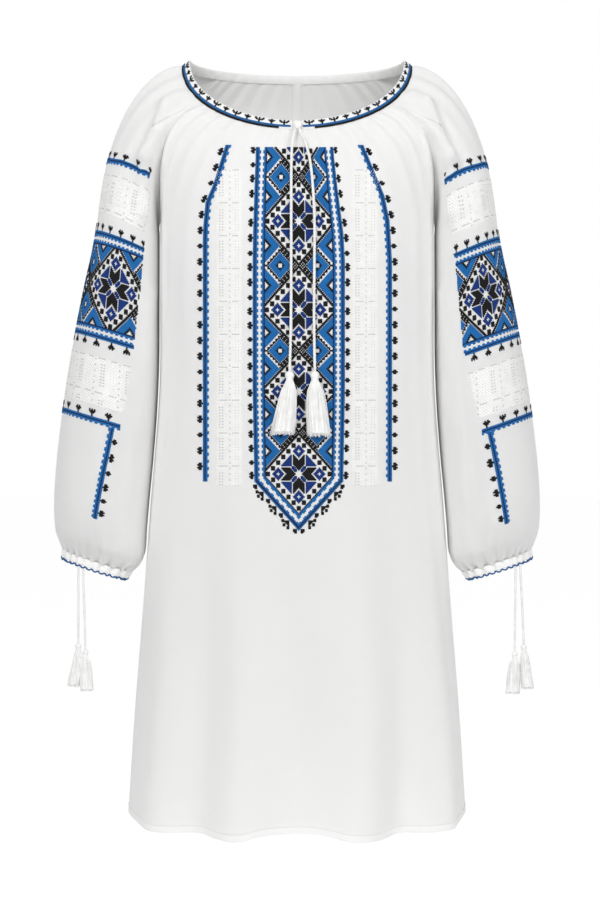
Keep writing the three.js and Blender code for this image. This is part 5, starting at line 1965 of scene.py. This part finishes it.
def band_chart():
    found = []
    for col in range(BAND_COLUMNS):
        out = min(col, BAND_COLUMNS - 1 - col) * STITCH_MM
        if out < KNOT_GAP:
            continue
        found += [(2, col, EDGING), (3, col, SKY)]
        if out > BLACK_FROM:
            found += [(0, col, BLACK), (1, col, BLACK)]
    for n in range(BAND_COLUMNS // 2 // PLANT_PITCH):
        shape = NECK_TREE if n % 2 == 0 else NECK_CLOVER
        middle = 5 + n * PLANT_PITCH
        for at in (middle, BAND_COLUMNS - 1 - middle):
            stamp(found, 4, at - len(shape[0]) // 2, shape, flip_y=True)
    return np.array(found)


lay_chart("neck_band_stitches", band_spot, band_chart(), band_behind, high=1.5)
print("band stitches across", BAND_COLUMNS)

# %% [markdown]
# ## Seams and hems
#
# The hem is turned up and held by one row of stitches. The raglan seams are topstitched on the body
# side, and the two halves of the back meet in a seam down its middle.

# %% Rows of sewing
SEW_PITCH = 3.2
SEW_LIFT = 0.02
RAGLAN_IN, MIDDLE_OFF = 0.982, 0.011  # how far across the rows run
SEAM_THREAD = thread("seam thread", (232, 232, 230), (206, 206, 204))


def sew(name, cloth, across, level, face, flip):
    """Running stitches of an even length along a line on a cloth."""
    across, level = np.broadcast_arrays(np.asarray(across, float), np.asarray(level, float))
    line = cloth(across, level)
    run = run_along(line)
    at = np.arange(SEW_PITCH / 2, run[-1], SEW_PITCH)
    u, v = np.interp(at, run, across), np.interp(at, run, level)
    ahead, behind = (
        cloth(np.interp(at + way, run, across), np.interp(at + way, run, level)) for way in (1, -1)
    )
    here, out, _, _ = cloth_frame(cloth, u, v, flip)
    cells = np.tile([SEW_PITCH, CELL_HIGH, CELL_HIGH], (len(at), 1))
    places = here + out * (face + SEW_LIFT)
    stitched(name, SINGLE, places, ahead - behind, out, cells, SEAM_THREAD, SEWN_LEG)
    print(name, len(at), "stitches")


hem_line = np.linspace(-0.985, 0.985, 600)
raglan_line = np.linspace(1.03, 1.97, 300)
middle_line = np.linspace(HEM_LEVEL + 0.004, 1.96, 700)
for name, cloth, flip in (("front", front_net, 1.0), ("back", back_net, -1.0)):
    sew(f"{name}_hem_sewing", cloth, hem_line, HEM_LEVEL, CLOTH * HEM_THICK / 2, flip)
    for side, label in SIDES.items():
        sew(f"{name}_raglan_{label}_sewing", cloth, side * RAGLAN_IN, raglan_line, CLOTH / 2, flip)
for side, label in SIDES.items():
    sew(f"back_middle_{label}_sewing", back_net, side * MIDDLE_OFF, middle_line, CLOTH / 2, -1.0)

# %% [markdown]
# ## The cut of each piece
#
# Every piece of cloth has its flat size listed: what it measures before it is gathered and
# sewn. A raglan panel isn't a rectangle, so its true area is listed as well.

# %% Flat sizes
SHEETS = {  # piece: flat width and length, flat area, how it is held, what holds it
    "front_linen": ((0.62, 0.93), 0.466, "gathered", ["neck_band", "sleeve_left", "sleeve_right"]),
    "back_linen": ((0.59, 0.98), 0.463, "gathered", ["neck_band", "sleeve_left", "sleeve_right"]),
    "sleeve_left_linen": ((0.44, 0.68), 0.234, "gathered", ["neck_band", "front", "back"]),
    "sleeve_right_linen": ((0.44, 0.68), 0.234, "gathered", ["neck_band", "front", "back"]),
    "neck_band_linen": ((0.811, 0.0135), None, "folded", ["front", "back"]),
    "cuff_left_linen": ((0.27, 0.011), None, "folded", ["sleeve_left"]),
    "cuff_right_linen": ((0.27, 0.011), None, "folded", ["sleeve_right"]),
    "back_strip_linen": ((0.0105, 0.96), None, "laid", ["back"]),
}
for name, (flat, area, held, holders) in SHEETS.items():
    start = name.removesuffix("linen")
    on_it = [o.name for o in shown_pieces() if o.name.startswith(start) and o.name != name]
    on_it = [n for n in on_it if not (start == "back_" and n.startswith("back_strip"))]
    print(name, "flat", flat, "with", len(on_it), "pieces")

# %% [markdown]
# ## Light and floor
#
# A pale studio shows white cloth best: soft light from all round keeps it bright, a lamp from the
# upper left gives the folds their shadows, and a wider one from the right softens them.

# %% Studio
def lamp(name, at, aim, size, power):
    data = bpy.data.lights.new(name, "AREA")
    data.size = size
    data.energy = power
    thing = bpy.data.objects.new(name, data)
    thing.location = at
    thing.rotation_euler = (Vector(aim) - Vector(at)).to_track_quat("-Z", "Y").to_euler()
    bpy.context.scene.collection.objects.link(thing)


AIM = (0, 0, -0.35)
lamp("key", (-1.3, -2.2, 1.1), AIM, 0.9, 35)
lamp("fill", (1.5, -2.4, 0.6), AIM, 1.8, 36)
world = bpy.data.worlds.new("studio")
bpy.context.scene.world = world
world.use_nodes = True
AMBIENT, BACKDROP = 0.46, 1.0  # strength as light on the cloth, and as the plain ground behind it
sky = world.node_tree.nodes["Background"]
sky.inputs["Color"].default_value = (1, 1, 1, 1)
ray = world.node_tree.nodes.new("ShaderNodeLightPath").outputs["Is Camera Ray"]
strength = math_node(world.node_tree, "MULTIPLY_ADD", ray, BACKDROP - AMBIENT)
strength.node.inputs[2].default_value = AMBIENT
world.node_tree.links.new(strength, sky.inputs["Strength"])
bpy.context.scene.view_settings.view_transform = "Standard"

FLOOR_Z = -1.5
floor_mesh = bpy.data.meshes.new("floor")
floor_mesh.from_pydata(
    [(-40, -40, FLOOR_Z), (40, -40, FLOOR_Z), (40, 40, FLOOR_Z), (-40, 40, FLOOR_Z)], [], [[0, 1, 2, 3]]
)
floor = link(floor_mesh, "floor")
pale = bpy.data.materials.new("pale floor")
pale.use_nodes = True
shader = pale.node_tree.nodes["Principled BSDF"].inputs
shader["Base Color"].default_value = (0.93, 0.93, 0.93, 1)
shader["Roughness"].default_value = 0.9
shader["Emission Color"].default_value = (1, 1, 1, 1)
# Behind the garment the floor is painted to glow, from nothing 0.5 m back to full at 1.9 m, so that it
# fades into the white backdrop; it is no lamp.
where = pale.node_tree.nodes.new("ShaderNodeTexCoord").outputs["Object"]
deep = node(pale.node_tree, "ShaderNodeSeparateXYZ", Vector=where).outputs["Y"]
painted_floor_glow = node(pale.node_tree, "ShaderNodeMapRange", Value=deep, From_Min=0.5, From_Max=1.9, To_Max=0.56)
pale.node_tree.links.new(painted_floor_glow.outputs[0], shader["Emission Strength"])
floor.data.materials.append(pale)
print("floor at", FLOOR_Z, "m")
